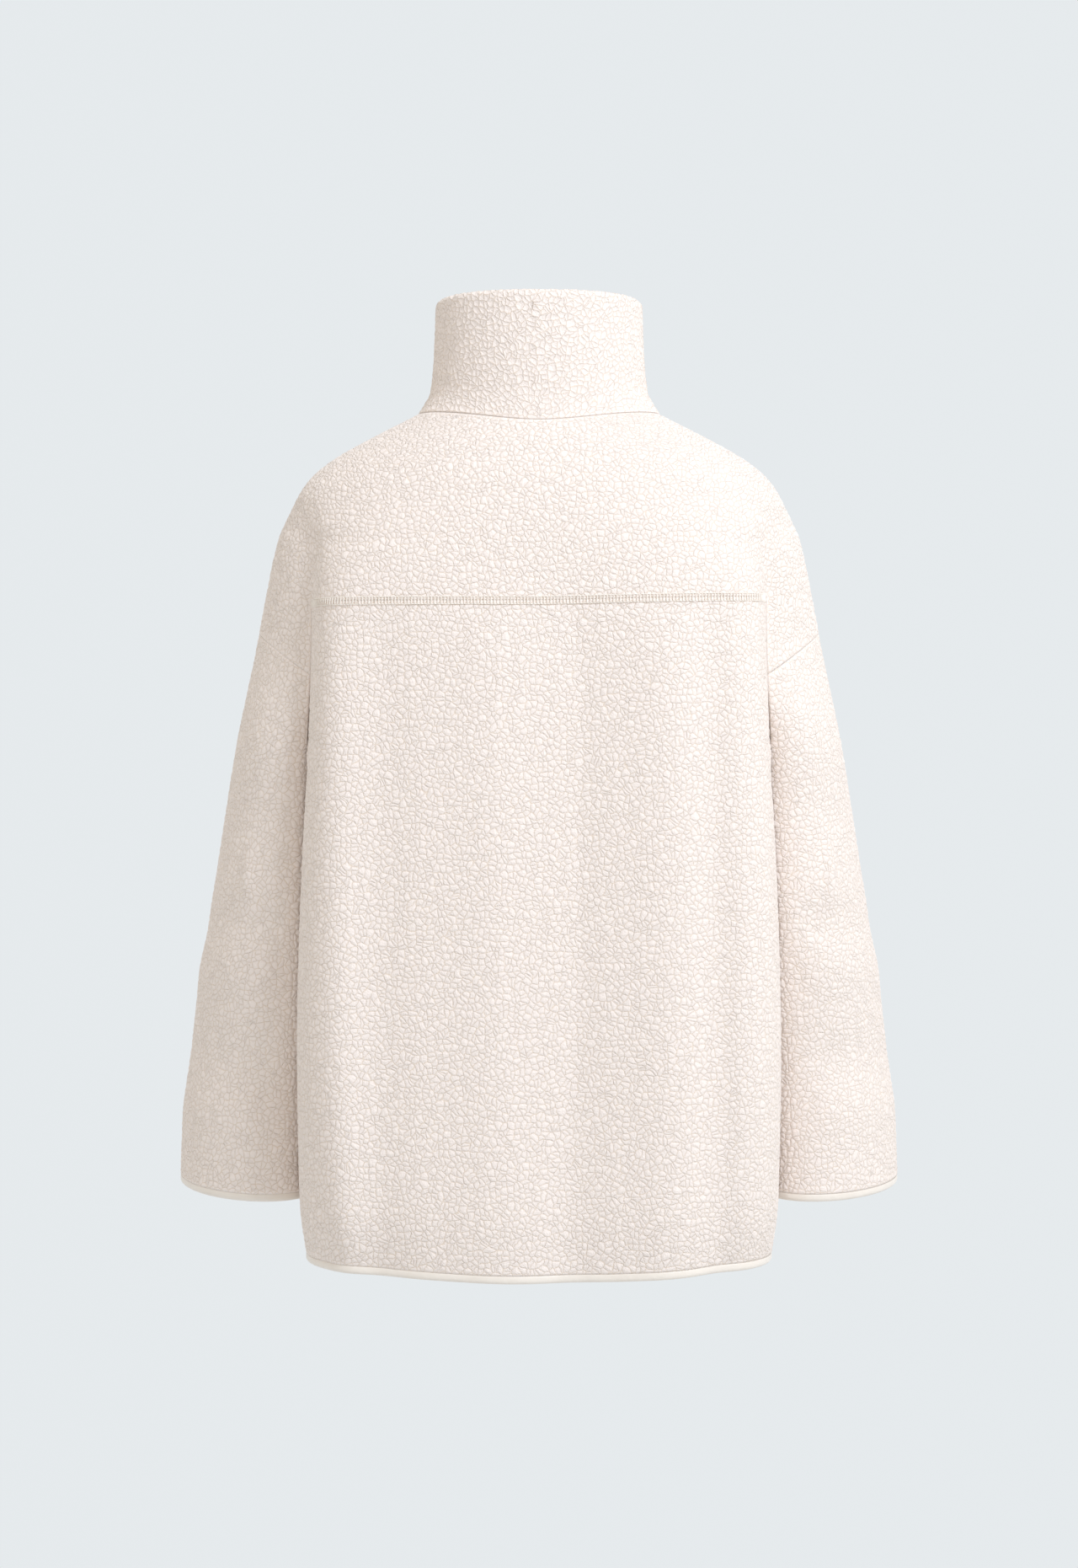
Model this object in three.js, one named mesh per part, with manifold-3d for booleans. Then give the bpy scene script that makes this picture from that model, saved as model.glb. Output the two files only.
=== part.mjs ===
// A faux shearling jacket in its worn shape, hollow, with no wearer in it. Millimetres, +Z up.
// The origin lies on the midline at the height where collar and shoulders meet, where the
// wearer's shoulders carry the jacket. The wearer faces -Y, so the back is at +Y, and the
// wearer's left sleeve is at +X.
//
// The cloth's outer face is one surface of four-sided patches, laid over level sections. The
// body's section is a squared ellipse and the arm's is an ellipse. Above the armpit the two make
// one outline with a crease where they meet, and below it they hang side by side. Each cut piece
// takes its own patches, draws back from its seams and is given the thickness of the cloth.
//
// A place on half of the body is (u, z): u runs from the middle of the back (0) to the crease
// behind the arm (1), the shoulder or side seam (2), the crease in front of the arm (3) and the
// edge at the zip (4).
import * as THREE from "three";
import Module from "manifold-3d";

// ---------------------------------------------------------------- driving sizes
const SHEARLING = 6; // backing knit and pile together
const COLLAR_WALL = 9; // the collar is folded double
const SEAM = 0.3; // the gap that stands for a sewn seam
const HEM_Z = -736; // cloth edge at the middle of the hem, above the binding
const HEM_RISE = 7; // the hem's edge is this much higher at the sides
const YOKE_Z = -167; // seam between yoke and back
const YOKE_RISE = 5; // the seam is this much higher at the crease behind the right arm
const ARMPIT_Z = -285;
const ARMHOLE_CREASE_Z = -228; // where the armhole seam enters the creases
const ARMHOLE_TOP_Z = -188; // its highest point, on the outside of the arm
const CUFF_Z = -674; // cloth edge at the middle of the cuff, above the binding
const CUFF_SLOPE = { outwards: 0, back: -0.1 }; // how the cuff's edge climbs each way
const NECK = { wide: 106, back: 83, front: 89 }; // the neck opening, seen from above
const COLLAR_TOP = {
  back: 103, side: 100, front: 74, wide: 90, backReach: 76, frontReach: 80, fullness: 0.9,
};
const SIDE_SEAM_Y = -14;
const ZIP_HALF = 5.5; // from the midline to the edge of each front
const TOUCH_GAP = 4; // air between sleeve and body at the armpit
const HANG_GAP = 6; // the same lower down

// Body sections: half width, reach of back and front from the midline, squareness of the corners.
const BODY = [
  { z: 12, wide: 90, back: 64, front: 46, square: 2.0 },
  { z: 2, wide: 106, back: 74, front: 55, square: 2.05 },
  { z: -13, wide: 135, back: 85, front: 68, square: 2.1 },
  { z: -30, wide: 167, back: 96, front: 78, square: 2.15 },
  { z: -42, wide: 186, back: 101, front: 84, square: 2.2 },
  { z: -54, wide: 200, back: 106, front: 90, square: 2.2 },
  { z: -66, wide: 209, back: 110, front: 95, square: 2.25 },
  { z: -80, wide: 216, back: 113, front: 100, square: 2.3 },
  { z: -95, wide: 212, back: 116, front: 105, square: 2.7 },
  { z: -112, wide: 202, back: 118, front: 109, square: 3.2 },
  { z: -132, wide: 197, back: 120, front: 114, square: 4.2 },
  { z: -167, wide: 196, back: 123, front: 119, square: 5.2 },
  { z: -285, wide: 199, back: 127, front: 127, square: 6.0 },
  { z: -400, wide: 205, back: 129, front: 130, square: 6.0 },
  { z: -550, wide: 209, back: 131, front: 134, square: 5.6 },
  { z: -680, wide: 208, back: 132, front: 137, square: 4.0 },
  { z: -742, wide: 202, back: 127, front: 133, square: 2.8 },
];

// Arm sections: outer edge from the midline, half width and half depth, centre towards the back,
// and how far the section slants forwards for each millimetre outwards.
const ARM = [
  { z: -80, outer: 215, wide: 56, deep: 50, y: -1, slant: 0 },
  { z: -95, outer: 225, wide: 62, deep: 59, y: 0, slant: 0.02 },
  { z: -122, outer: 233, wide: 65, deep: 67, y: 1, slant: 0.1 },
  { z: -167, outer: 243, wide: 65, deep: 66, y: 1, slant: 0.27 },
  { z: -211, outer: 252, wide: 58, deep: 64, y: -2, slant: 0.4 },
  { z: -285, outer: 267, wide: 44, deep: 65, y: -8, slant: 0.3 },
  { z: -350, outer: 279, wide: 48, deep: 65, y: -19, slant: 0.4 },
  { z: -420, outer: 290, wide: 52, deep: 66, y: -22, slant: 0.42 },
  { z: -500, outer: 304, wide: 57, deep: 62, y: -33, slant: 0.45 },
  { z: -580, outer: 316, wide: 61, deep: 64, y: -50, slant: 0.42 },
  { z: -640, outer: 322, wide: 63, deep: 68, y: -57, slant: 0.38 },
  { z: -700, outer: 324, wide: 63, deep: 68, y: -60, slant: 0.36 },
];

// Soft upright folds: place where they start and at the hem, reach at the hem (ridges positive,
// troughs negative) and half width.
const BACK_FOLDS = [
  { top: 184, hem: 170, reach: 8, wide: 20 },
  { top: 132, hem: 136, reach: -5, wide: 24 },
  { top: 42, hem: 36, reach: 5, wide: 36 },
  { top: -24, hem: -28, reach: -6, wide: 26 },
  { top: -104, hem: -110, reach: 6, wide: 30 },
  { top: -148, hem: -154, reach: -8, wide: 18 },
];
const FRONT_FOLDS = [
  { top: 120, hem: 130, reach: -5, wide: 24 },
  { top: 64, hem: 72, reach: 4, wide: 26 },
  { top: -58, hem: -66, reach: 4.5, wide: 24 },
  { top: -118, hem: -124, reach: -4.5, wide: 26 },
];
const FOLD_TOP_Z = -120;
const FOLD_START = 0.65; // the share of each fold that is there from its top on
const ARM_TOP_Z = -80; // above it the arm lies wholly inside the shoulder

// Drag folds round the sleeves: height, angle round the arm they centre on (90 is the back),
// reach, half height, and half length as an angle.
const SLEEVE_FOLDS = [
  { z: -400, angle: 70, reach: 4, tall: 26, long: 60 },
  { z: -442, angle: 110, reach: -5, tall: 20, long: 70 },
  { z: -486, angle: 60, reach: 3.5, tall: 22, long: 70 },
  { z: -560, angle: 80, reach: -3.5, tall: 22, long: 60 },
  { z: -610, angle: 70, reach: 3, tall: 20, long: 60 },
  { z: -430, angle: -60, reach: 4.5, tall: 24, long: 50 },
];

// How far the outline's corners are rounded, by height: in the crease beside the arm, and where
// the body turns in to make room for the hanging sleeve.
const ROUNDING = [
  { z: -40, crease: 60, hollow: 0 },
  { z: -80, crease: 46, hollow: 0 },
  { z: -110, crease: 20, hollow: 0 },
  { z: -167, crease: 6, hollow: 0 },
  { z: -228, crease: 3, hollow: 0 },
  { z: -285, crease: 0, hollow: 0 },
  { z: -330, crease: 0, hollow: 8 },
  { z: -742, crease: 0, hollow: 10 },
];

// The collar's lean: share of the way from neck edge to top edge, by share of its height.
const COLLAR_LEAN = [
  { z: 1, share: 1 },
  { z: 0.55, share: 0.9 },
  { z: 0.2, share: 0.7 },
  { z: 0.07, share: 0.3 },
  { z: 0, share: 0 },
];

// Bindings: half thickness at steps down from the cloth's edge.
const BINDING_PROFILE = [
  { down: 0.3, half: 2.5 },
  { down: 3.4, half: 3.0 },
  { down: 6, half: 2.3 },
  { down: 7, half: 1.1 },
];

// Grid columns in each quarter of u, and rows in each belt of z.
const COLUMNS = [11, 5, 5, 8];
const INNER_ARM_COLUMNS = 11;
const ROWS = { skirt: 13, armhole: 3, shoulderBlade: 3, shoulder: 8, collar: 5, sleeve: 13 };
const SHOULDER_EASE = 1.4; // its rows lie closer together towards the neck

// Where the creases would be on a shoulder that is smooth, as shares of the half outline.
const SMOOTH_MARKS = { back: 0.38, front: 0.63 };
const SMOOTH_FROM_Z = -70;
const CREASED_FROM_Z = -135;
const SHOULDER_SEAM_SHARE = 0.54; // from the back crease to the front one

// The zip: tapes between the fronts, chain on them, slider and pull near the collar's top.
const TAPE = { from: 0.4, to: 4.7, front: -2.4, back: -3.6 };
const CHAIN = { from: 0.3, to: 2.6, front: 0.6, back: -2.1 };
const SLIDER = {
  z: 58, tall: 13, topHalf: 4.6, bottomHalf: 3.3, corner: 0.8, cheek: 3, back: -2.1, front: 2.6,
};
const BRIDGE = { tall: 10, reach: 4.6, bar: 0.65, sunk: 0.4 };
const PULL = {
  barRadius: 0.7, armX: 2.2, loop: 10, tab: 24, tabHalf: 3.2, thick: 1.4, corner: 1.6, slack: 0.55,
};
const BOX = { tall: 11, half: 4.4, corner: 1, aboveHem: 0.5, back: -2.1, front: 1.2 };
const ZIP_ENDS = { belowHem: 6, belowCollar: 2 };

// ---------------------------------------------------------------- small helpers
const mix = (a, b, t) => a + (b - a) * t;
const clamp01 = (t) => Math.min(1, Math.max(0, t));
const smooth = (t) => clamp01(t) ** 2 * (3 - 2 * clamp01(t));
const radians = THREE.MathUtils.degToRad;
const degrees = THREE.MathUtils.radToDeg;

// One column of a table whose rows run downwards, at height z, without kinks or overshoot.
function at(rows, key, z) {
  if (z >= rows[0].z) return rows[0][key];
  const last = rows.length - 1;
  if (z <= rows[last].z) return rows[last][key];
  const k = rows.findIndex((row) => row.z <= z) - 1;
  const slope = (i) => (rows[i + 1][key] - rows[i][key]) / (rows[i + 1].z - rows[i].z);
  const tangent = (i) => {
    if (i === 0) return slope(0);
    if (i === last) return slope(last - 1);
    const [above, below] = [slope(i - 1), slope(i)];
    return above * below <= 0 ? 0 : (2 * above * below) / (above + below);
  };
  const step = rows[k + 1].z - rows[k].z;
  const t = (z - rows[k].z) / step;
  return (
    (2 * t ** 3 - 3 * t ** 2 + 1) * rows[k][key] +
    (t ** 3 - 2 * t ** 2 + t) * step * tangent(k) +
    (3 * t ** 2 - 2 * t ** 3) * rows[k + 1][key] +
    (t ** 3 - t ** 2) * step * tangent(k + 1)
  );
}

// The smaller of two lengths, eased where they are less than ease apart.
function softMin(a, b, ease) {
  if (ease < 0.01) return Math.min(a, b);
  const near = Math.max(0, 1 - Math.abs(a - b) / ease);
  return Math.min(a, b) - 0.25 * ease * near * near;
}

// ---------------------------------------------------------------- lines of [x, y]
const distance = (a, b) => Math.hypot(a[0] - b[0], a[1] - b[1]);
const between = (a, b, t) => [mix(a[0], b[0], t), mix(a[1], b[1], t)];

function lengthOf(line) {
  return line.slice(1).reduce((sum, p, i) => sum + distance(line[i], p), 0);
}

// The line up to the point that lies s along it, and the rest.
function splitAt(line, s) {
  let gone = 0;
  for (let i = 1; i < line.length; i++) {
    const step = distance(line[i - 1], line[i]);
    if (step > 0 && gone + step >= s) {
      const cut = between(line[i - 1], line[i], (s - gone) / step);
      return [[...line.slice(0, i), cut], [cut, ...line.slice(i)]];
    }
    gone += step;
  }
  return [line, [line.at(-1)]];
}

const pointAlong = (line, s) => splitAt(line, Math.max(s, 1e-6))[0].at(-1);

// Joins two lines that meet in a corner by a curve that leaves them reach away from it.
function roundedJoin(before, after, reach) {
  if (reach < 0.5) return { line: [...before, ...after.slice(1)], corner: lengthOf(before) };
  const [head] = splitAt(before, lengthOf(before) - reach);
  const [, tail] = splitAt(after, reach);
  const [start, corner, end] = [head.at(-1), before.at(-1), tail[0]];
  const curve = [];
  for (let i = 1; i < 12; i++) {
    const t = i / 12;
    curve.push(between(between(start, corner, t), between(corner, end, t), t));
  }
  const middle = lengthOf(head) + lengthOf([start, ...curve, end]) / 2;
  return { line: [...head, ...curve, ...tail], corner: middle };
}

function trace(pointAt, from, to, steps) {
  return Array.from({ length: steps + 1 }, (_, i) => pointAt(mix(from, to, i / steps)));
}

// ---------------------------------------------------------------- sections of body and arm
function foldReach(folds, x, z) {
  const down = clamp01((FOLD_TOP_Z - z) / (FOLD_TOP_Z - HEM_Z));
  const growth = mix(down, smooth(down * 6), FOLD_START);
  return folds.reduce((sum, fold) => {
    const off = (x - mix(fold.top, fold.hem, down)) / fold.wide;
    return sum + fold.reach * growth * Math.exp(-off * off);
  }, 0);
}

// A point of the body's outline: angle 90 is the middle of the back and -90 that of the front.
function bodyPoint(z, side, angle) {
  const power = 2 / at(BODY, "square", z);
  const wide = at(BODY, "wide", z);
  const x = wide * Math.max(0, Math.cos(radians(angle))) ** power;
  const share = Math.abs(Math.sin(radians(angle))) ** power;
  const calm = 1 - (x / wide) ** 6;
  if (angle >= 0) return [x, at(BODY, "back", z) * share + calm * foldReach(BACK_FOLDS, side * x, z)];
  return [x, -at(BODY, "front", z) * share - calm * foldReach(FRONT_FOLDS, side * x, z)];
}

// A point of the arm's outline: angle 0 is its outer edge and 90 its back.
function armPoint(z, angle) {
  const wide = at(ARM, "wide", z);
  const reach = SLEEVE_FOLDS.reduce((sum, fold) => {
    const [up, round] = [(z - fold.z) / fold.tall, (angle - fold.angle) / fold.long];
    const clear = smooth((ARMPIT_Z - z) / 60) * smooth((Math.cos(radians(angle)) + 0.45) / 0.5);
    return sum + fold.reach * clear * Math.exp(-up * up - round * round);
  }, 0);
  const aside = (wide + reach) * Math.cos(radians(angle));
  const behind = (at(ARM, "deep", z) + reach) * Math.sin(radians(angle));
  return [at(ARM, "outer", z) - wide + aside, at(ARM, "y", z) + behind - at(ARM, "slant", z) * aside];
}

// A place in the arm's outline as shares of its half width and half depth.
function armShares(z, [x, y]) {
  const wide = at(ARM, "wide", z);
  const aside = x - (at(ARM, "outer", z) - wide);
  return [aside / wide, (y - at(ARM, "y", z) + at(ARM, "slant", z) * aside) / at(ARM, "deep", z)];
}

function armAngleOf(z, place) {
  const [across, deep] = armShares(z, place);
  return degrees(Math.atan2(deep, across));
}

const insideArm = (z, place) => Math.hypot(...armShares(z, place)) < 1;

// How far out the arm's inner side lies at a place from front to back.
function armInnerX(z, y) {
  const [wide, deep] = [at(ARM, "wide", z), at(ARM, "deep", z)];
  const tilt = (at(ARM, "slant", z) * wide) / deep;
  const top = Math.hypot(1, tilt);
  const off = THREE.MathUtils.clamp((y - at(ARM, "y", z)) / deep, -top, top);
  const reach = Math.sqrt(top * top - off * off);
  return at(ARM, "outer", z) - wide - (wide * (off * tilt + reach)) / (1 + tilt * tilt);
}

// The body's angle where its outline runs into the arm's, from the back (1) or the front (-1).
// It is null where the arm lies wholly inside the body.
function creaseAngle(z, side, way) {
  if (z > ARM_TOP_Z) return null;
  let clear = 88;
  while (clear > 0 && !insideArm(z, bodyPoint(z, side, way * (clear - 1)))) clear -= 1;
  if (clear <= 0) return null;
  let [inside, outside] = [clear - 1, clear];
  for (let i = 0; i < 24; i++) {
    const middle = (inside + outside) / 2;
    if (insideArm(z, bodyPoint(z, side, way * middle))) inside = middle;
    else outside = middle;
  }
  return way * outside;
}

// The body's angle where its outline reaches the zip.
function zipAngle(z) {
  const share = (ZIP_HALF / at(BODY, "wide", z)) ** (at(BODY, "square", z) / 2);
  return -degrees(Math.acos(share));
}

// Where the creases end, at the armpit.
const creaseEnd = (side, way) => bodyPoint(ARMPIT_Z, side, creaseAngle(ARMPIT_Z, side, way))[1];

// The body's outline below the armpit, where it makes room for the sleeve beside it.
function hollowedPoint(z, side, angle) {
  const [x, y] = bodyPoint(z, side, angle);
  const gap = mix(TOUCH_GAP, HANG_GAP, smooth((ARMPIT_Z - z) / 70));
  return [softMin(x, armInnerX(z, y) - gap, at(ROUNDING, "hollow", z)), y];
}

// The half outline at a height, and how far along it the five whole values of u lie.
function outlineAboveArmpit(z, side) {
  const [backCrease, frontCrease] = [creaseAngle(z, side, 1), creaseAngle(z, side, -1)];
  const body = (from, to) => trace((a) => bodyPoint(z, side, a), from, to, 90);
  const smoothness = smooth((z - CREASED_FROM_Z) / (SMOOTH_FROM_Z - CREASED_FROM_Z));
  if (backCrease === null || frontCrease === null) {
    const line = body(90, zipAngle(z));
    const total = lengthOf(line);
    const [back, front] = [SMOOTH_MARKS.back * total, SMOOTH_MARKS.front * total];
    return { line, marks: [0, back, mix(back, front, SHOULDER_SEAM_SHARE), front, total] };
  }
  const leaves = armAngleOf(z, bodyPoint(z, side, backCrease));
  const returns = armAngleOf(z, bodyPoint(z, side, frontCrease));
  const arm = trace((a) => armPoint(z, a), leaves, returns, 90);
  const rounding = Math.min(at(ROUNDING, "crease", z), 0.45 * lengthOf(arm));
  const first = roundedJoin(body(90, backCrease), arm, rounding);
  const second = roundedJoin(first.line, body(frontCrease, zipAngle(z)), rounding);
  const total = lengthOf(second.line);
  const back = mix(first.corner, SMOOTH_MARKS.back * total, smoothness);
  const front = mix(second.corner, SMOOTH_MARKS.front * total, smoothness);
  const seam = mix(back, front, SHOULDER_SEAM_SHARE);
  return { line: second.line, marks: [0, back, seam, front, total] };
}

function outlineBelowArmpit(z, side) {
  const line = trace((a) => hollowedPoint(z, side, a), 90, zipAngle(z), 200);
  const levels = [creaseEnd(side, 1), SIDE_SEAM_Y, creaseEnd(side, -1)];
  const marks = [0];
  let gone = 0;
  for (let i = 1; i < line.length && marks.length < 4; i++) {
    const step = distance(line[i - 1], line[i]);
    const level = levels[marks.length - 1];
    if (line[i][1] <= level && line[i - 1][1] > level) {
      marks.push(gone + (step * (line[i - 1][1] - level)) / (line[i - 1][1] - line[i][1]));
    }
    gone += step;
  }
  return { line, marks: [...marks, lengthOf(line)] };
}

const knownOutlines = new Map();
function outline(z, side, hanging) {
  const key = `${z.toFixed(4)} ${side} ${hanging}`;
  if (!knownOutlines.has(key)) {
    const make = hanging ? outlineBelowArmpit : outlineAboveArmpit;
    knownOutlines.set(key, make(z, side));
  }
  return knownOutlines.get(key);
}

function bodyPlace(u, z, side, hanging = z < ARMPIT_Z) {
  const { line, marks } = outline(z, side, hanging);
  const k = Math.min(3, Math.floor(u));
  const [x, y] = pointAlong(line, mix(marks[k], marks[k + 1], u - k));
  return new THREE.Vector3(side * x, y, z);
}

// ---------------------------------------------------------------- heights of the seams over u
const hemZ = (u) => HEM_Z + HEM_RISE * smooth(Math.min(u, 4 - u));

function yokeZ(u, side) {
  const nearCrease = side < 0 ? clamp01(Math.min(u, 2 - u)) : 0;
  return YOKE_Z + YOKE_RISE * nearCrease;
}

function armholeZ(u) {
  const fromTop = clamp01(Math.abs(u - 2));
  return mix(ARMHOLE_TOP_Z, ARMHOLE_CREASE_Z, 0.35 * fromTop + 0.65 * fromTop ** 2);
}

// The neck seam lies where the shoulders meet an upright tube with an oval section.
function neckZ(u) {
  let [outside, inside] = [-70, 12];
  for (let i = 0; i < 24; i++) {
    const z = (outside + inside) / 2;
    const p = bodyPlace(u, z, 1);
    if (Math.hypot(p.x / NECK.wide, p.y / (p.y > 0 ? NECK.back : NECK.front)) > 1) outside = z;
    else inside = z;
  }
  return inside;
}

const neckHeights = new Map();
function neckSeamZ(u) {
  if (!neckHeights.has(u)) neckHeights.set(u, neckZ(u));
  return neckHeights.get(u);
}

function collarTopZ(y) {
  if (y > 0) return mix(COLLAR_TOP.side, COLLAR_TOP.back, y / NECK.back);
  return mix(COLLAR_TOP.side, COLLAR_TOP.front, smooth(-y / NECK.front));
}

// A place on the collar: t is 0 at the neck edge and 1 at the top edge.
function collarPlace(u, t, side) {
  const foot = bodyPlace(u, neckSeamZ(u), side);
  const turn = Math.atan2(foot.y, Math.abs(foot.x));
  const reach = foot.y > 0 ? COLLAR_TOP.backReach : COLLAR_TOP.frontReach;
  const round = side * Math.max(ZIP_HALF, COLLAR_TOP.wide * Math.cos(turn) ** COLLAR_TOP.fullness);
  const ends = { 0: 0, 4: side * ZIP_HALF };
  const lean = at(COLLAR_LEAN, "share", t);
  const x = mix(foot.x, ends[u] ?? round, lean);
  const y = mix(foot.y, reach * Math.sin(turn), lean);
  return new THREE.Vector3(x, y, mix(foot.z, collarTopZ(foot.y), t));
}

// ---------------------------------------------------------------- the cloth's outer face
const MERGE = 0.01;
const NEIGHBOURS = [-1, 0, 1].flatMap((x) => [-1, 0, 1].flatMap((y) => [-1, 0, 1].map((z) => [x, y, z])));

// Points and patches of the whole surface. Each patch belongs to one cut piece.
class Surface {
  points = [];
  patches = [];
  known = new Map();

  // Points closer than MERGE are one point, whichever cell of a grid that fine they fall in.
  addPoint(p) {
    const cell = p.toArray().map((value) => Math.round(value / MERGE));
    for (const near of NEIGHBOURS) {
      const id = this.known.get(cell.map((value, i) => value + near[i]).join(" "));
      if (id !== undefined && this.points[id].distanceTo(p) < MERGE) return id;
    }
    this.known.set(cell.join(" "), this.points.length);
    return this.points.push(p.clone()) - 1;
  }

  // Rows of points run upwards. Their order along a row is from the back to the front.
  addGrid(piece, rows, side) {
    const ids = rows.map((row) => row.map((p) => this.addPoint(p)));
    for (let r = 0; r + 1 < ids.length; r++) {
      for (let c = 0; c + 1 < ids[r].length; c++) {
        const loop = [ids[r][c], ids[r + 1][c], ids[r + 1][c + 1], ids[r][c + 1]];
        this.patches.push({ piece, loop: side > 0 ? loop : loop.reverse() });
      }
    }
    return ids;
  }

  patchNormal(patch) {
    const [a, b, c, d] = patch.loop.map((id) => this.points[id]);
    return c.clone().sub(a).cross(d.clone().sub(b)).normalize();
  }

  // For each point of a piece, the piece's own normal and that of all cloth that meets there.
  normals(piece) {
    const own = new Map();
    const all = new Map();
    const add = (map, id, normal) => {
      if (!map.has(id)) map.set(id, new THREE.Vector3());
      map.get(id).add(normal);
    };
    for (const patch of this.patches) {
      const normal = this.patchNormal(patch);
      for (const id of patch.loop) {
        add(all, id, normal);
        if (patch.piece === piece) add(own, id, normal);
      }
    }
    for (const map of [own, all]) for (const normal of map.values()) normal.normalize();
    return { own, all };
  }

  // Directed edges of a piece that no second patch of it shares.
  openEdges(piece) {
    const edges = new Map();
    for (const patch of this.patches) {
      if (patch.piece !== piece) continue;
      patch.loop.forEach((id, i) => {
        const next = patch.loop[(i + 1) % 4];
        edges.set(`${id} ${next}`, [id, next]);
      });
    }
    return [...edges.values()].filter(([a, b]) => !edges.has(`${b} ${a}`));
  }
}

const eased = (t, ease = SHOULDER_EASE) => 1 - (1 - t) ** ease;
const steps = (from, to, count) => Array.from({ length: count + 1 }, (_, i) => mix(from, to, i / count));

// Columns of u between two whole values, with the counts for each quarter.
function columnsOf(counts, from, to) {
  const values = [];
  for (let k = from; k < to; k++) values.push(...steps(k, k + 1, counts[k]).slice(k > from ? 1 : 0));
  return values;
}

function bodyGrid(us, side, lowZ, highZ, count, hanging, ease = 1) {
  return steps(0, 1, count).map((t) =>
    us.map((u) => bodyPlace(u, mix(lowZ(u), highZ(u), eased(t, ease)), side, hanging)),
  );
}

function addBody(surface, side, front) {
  const level = (z) => () => z;
  const justBelowArmpit = level(ARMPIT_Z - 1e-4);
  const skirt = (from, to) =>
    bodyGrid(columnsOf(COLUMNS, from, to), side, hemZ, justBelowArmpit, ROWS.skirt, true);
  const backSkirt = skirt(0, 2);
  const frontSkirt = skirt(2, 4);
  const creaseColumn = COLUMNS[0];
  for (let c = 0; c <= creaseColumn; c++) {
    backSkirt[ROWS.skirt][c] = bodyPlace(c / creaseColumn, ARMPIT_Z, side);
  }
  const frontUs = columnsOf(COLUMNS, 3, 4);
  frontUs.forEach((u, c) => {
    frontSkirt[ROWS.skirt][COLUMNS[2] + c] = bodyPlace(u, ARMPIT_Z, side);
  });
  surface.addGrid("back", backSkirt, side);
  surface.addGrid(front, frontSkirt, side);

  const yoke = (u) => yokeZ(u, side);
  const belts = [
    { low: level(ARMPIT_Z), high: armholeZ, rows: ROWS.armhole, ease: 1 },
    { low: armholeZ, high: yoke, rows: ROWS.shoulderBlade, ease: 1 },
    { low: yoke, high: neckSeamZ, rows: ROWS.shoulder, ease: SHOULDER_EASE },
  ];
  const owners = [
    [["back", 0, 1], [front, 3, 4]],
    [["back", 0, 1], ["yoke", 1, 2], [front, 2, 4]],
    [["yoke", 0, 2], [front, 2, 4]],
  ];
  belts.forEach((belt, k) => {
    for (const [piece, from, to] of owners[k]) {
      const us = columnsOf(COLUMNS, from, to);
      surface.addGrid(piece, bodyGrid(us, side, belt.low, belt.high, belt.rows, false, belt.ease), side);
    }
  });
}

function addCollar(surface, side) {
  const us = columnsOf(COLUMNS, 0, 4);
  const rows = steps(0, 1, ROWS.collar).map((t) => us.map((u) => collarPlace(u, t, side)));
  surface.addGrid("collar", rows, side);
}

// The height of the cuff's edge at an angle round the arm.
function cuffZ(angle) {
  const [x, y] = armPoint(CUFF_Z, angle);
  const outwards = x - (at(ARM, "outer", CUFF_Z) - at(ARM, "wide", CUFF_Z));
  const back = y - at(ARM, "y", CUFF_Z);
  return CUFF_Z + CUFF_SLOPE.outwards * outwards + CUFF_SLOPE.back * back;
}

// The sleeve: the belt above the armpit, which has no inner side, and the tube below it.
function addSleeve(surface, side, piece) {
  const outerUs = columnsOf(COLUMNS, 1, 3);
  const belt = bodyGrid(outerUs, side, () => ARMPIT_Z, armholeZ, ROWS.armhole, false);
  surface.addGrid(piece, belt, side);

  const angles = belt[0].map((p) => armAngleOf(ARMPIT_Z, [side * p.x, p.y]));
  const inner = steps(angles.at(-1), angles[0] - 360, INNER_ARM_COLUMNS).slice(1);
  const tube = steps(0, 1, ROWS.sleeve).map((t) =>
    [...angles, ...inner].map((angle) => {
      const z = mix(cuffZ(angle), ARMPIT_Z, t);
      const [x, y] = armPoint(z, angle);
      return new THREE.Vector3(side * x, y, z);
    }),
  );
  belt[0].forEach((p, c) => tube[ROWS.sleeve][c].copy(p));
  tube[ROWS.sleeve][tube[0].length - 1].copy(belt[0][0]);
  return surface.addGrid(piece, tube, side)[0];
}

// ---------------------------------------------------------------- solids
// A closed triangle mesh. Points are shared, so its faces meet edge to edge.
class Solid {
  points = [];
  faces = [];

  add(p) {
    this.points.push(p.clone());
    return this.points.length - 1;
  }

  quad(a, b, c, d) {
    this.faces.push([a, b, c], [a, c, d]);
  }

  geometry() {
    const flat = this.faces.flatMap((face) => face.flatMap((id) => this.points[id].toArray()));
    const geometry = new THREE.BufferGeometry();
    geometry.setAttribute("position", new THREE.Float32BufferAttribute(flat, 3));
    geometry.computeVertexNormals();
    return geometry;
  }
}

// How far each point on a piece's edge draws back from it within the surface.
function edgeShifts(surface, edges, normals) {
  const inward = new Map();
  for (const [a, b] of edges) {
    const along = surface.points[b].clone().sub(surface.points[a]).normalize();
    for (const id of [a, b]) {
      if (!inward.has(id)) inward.set(id, []);
      inward.get(id).push(normals.get(id).clone().cross(along).normalize());
    }
  }
  const shifts = new Map();
  for (const [id, directions] of inward) {
    const sum = directions.reduce((total, d) => total.add(d), new THREE.Vector3());
    const spread = Math.max(0.35, directions[0].dot(directions.at(-1)) + 1);
    shifts.set(id, sum.multiplyScalar(SEAM / 2 / spread));
  }
  return shifts;
}

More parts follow.
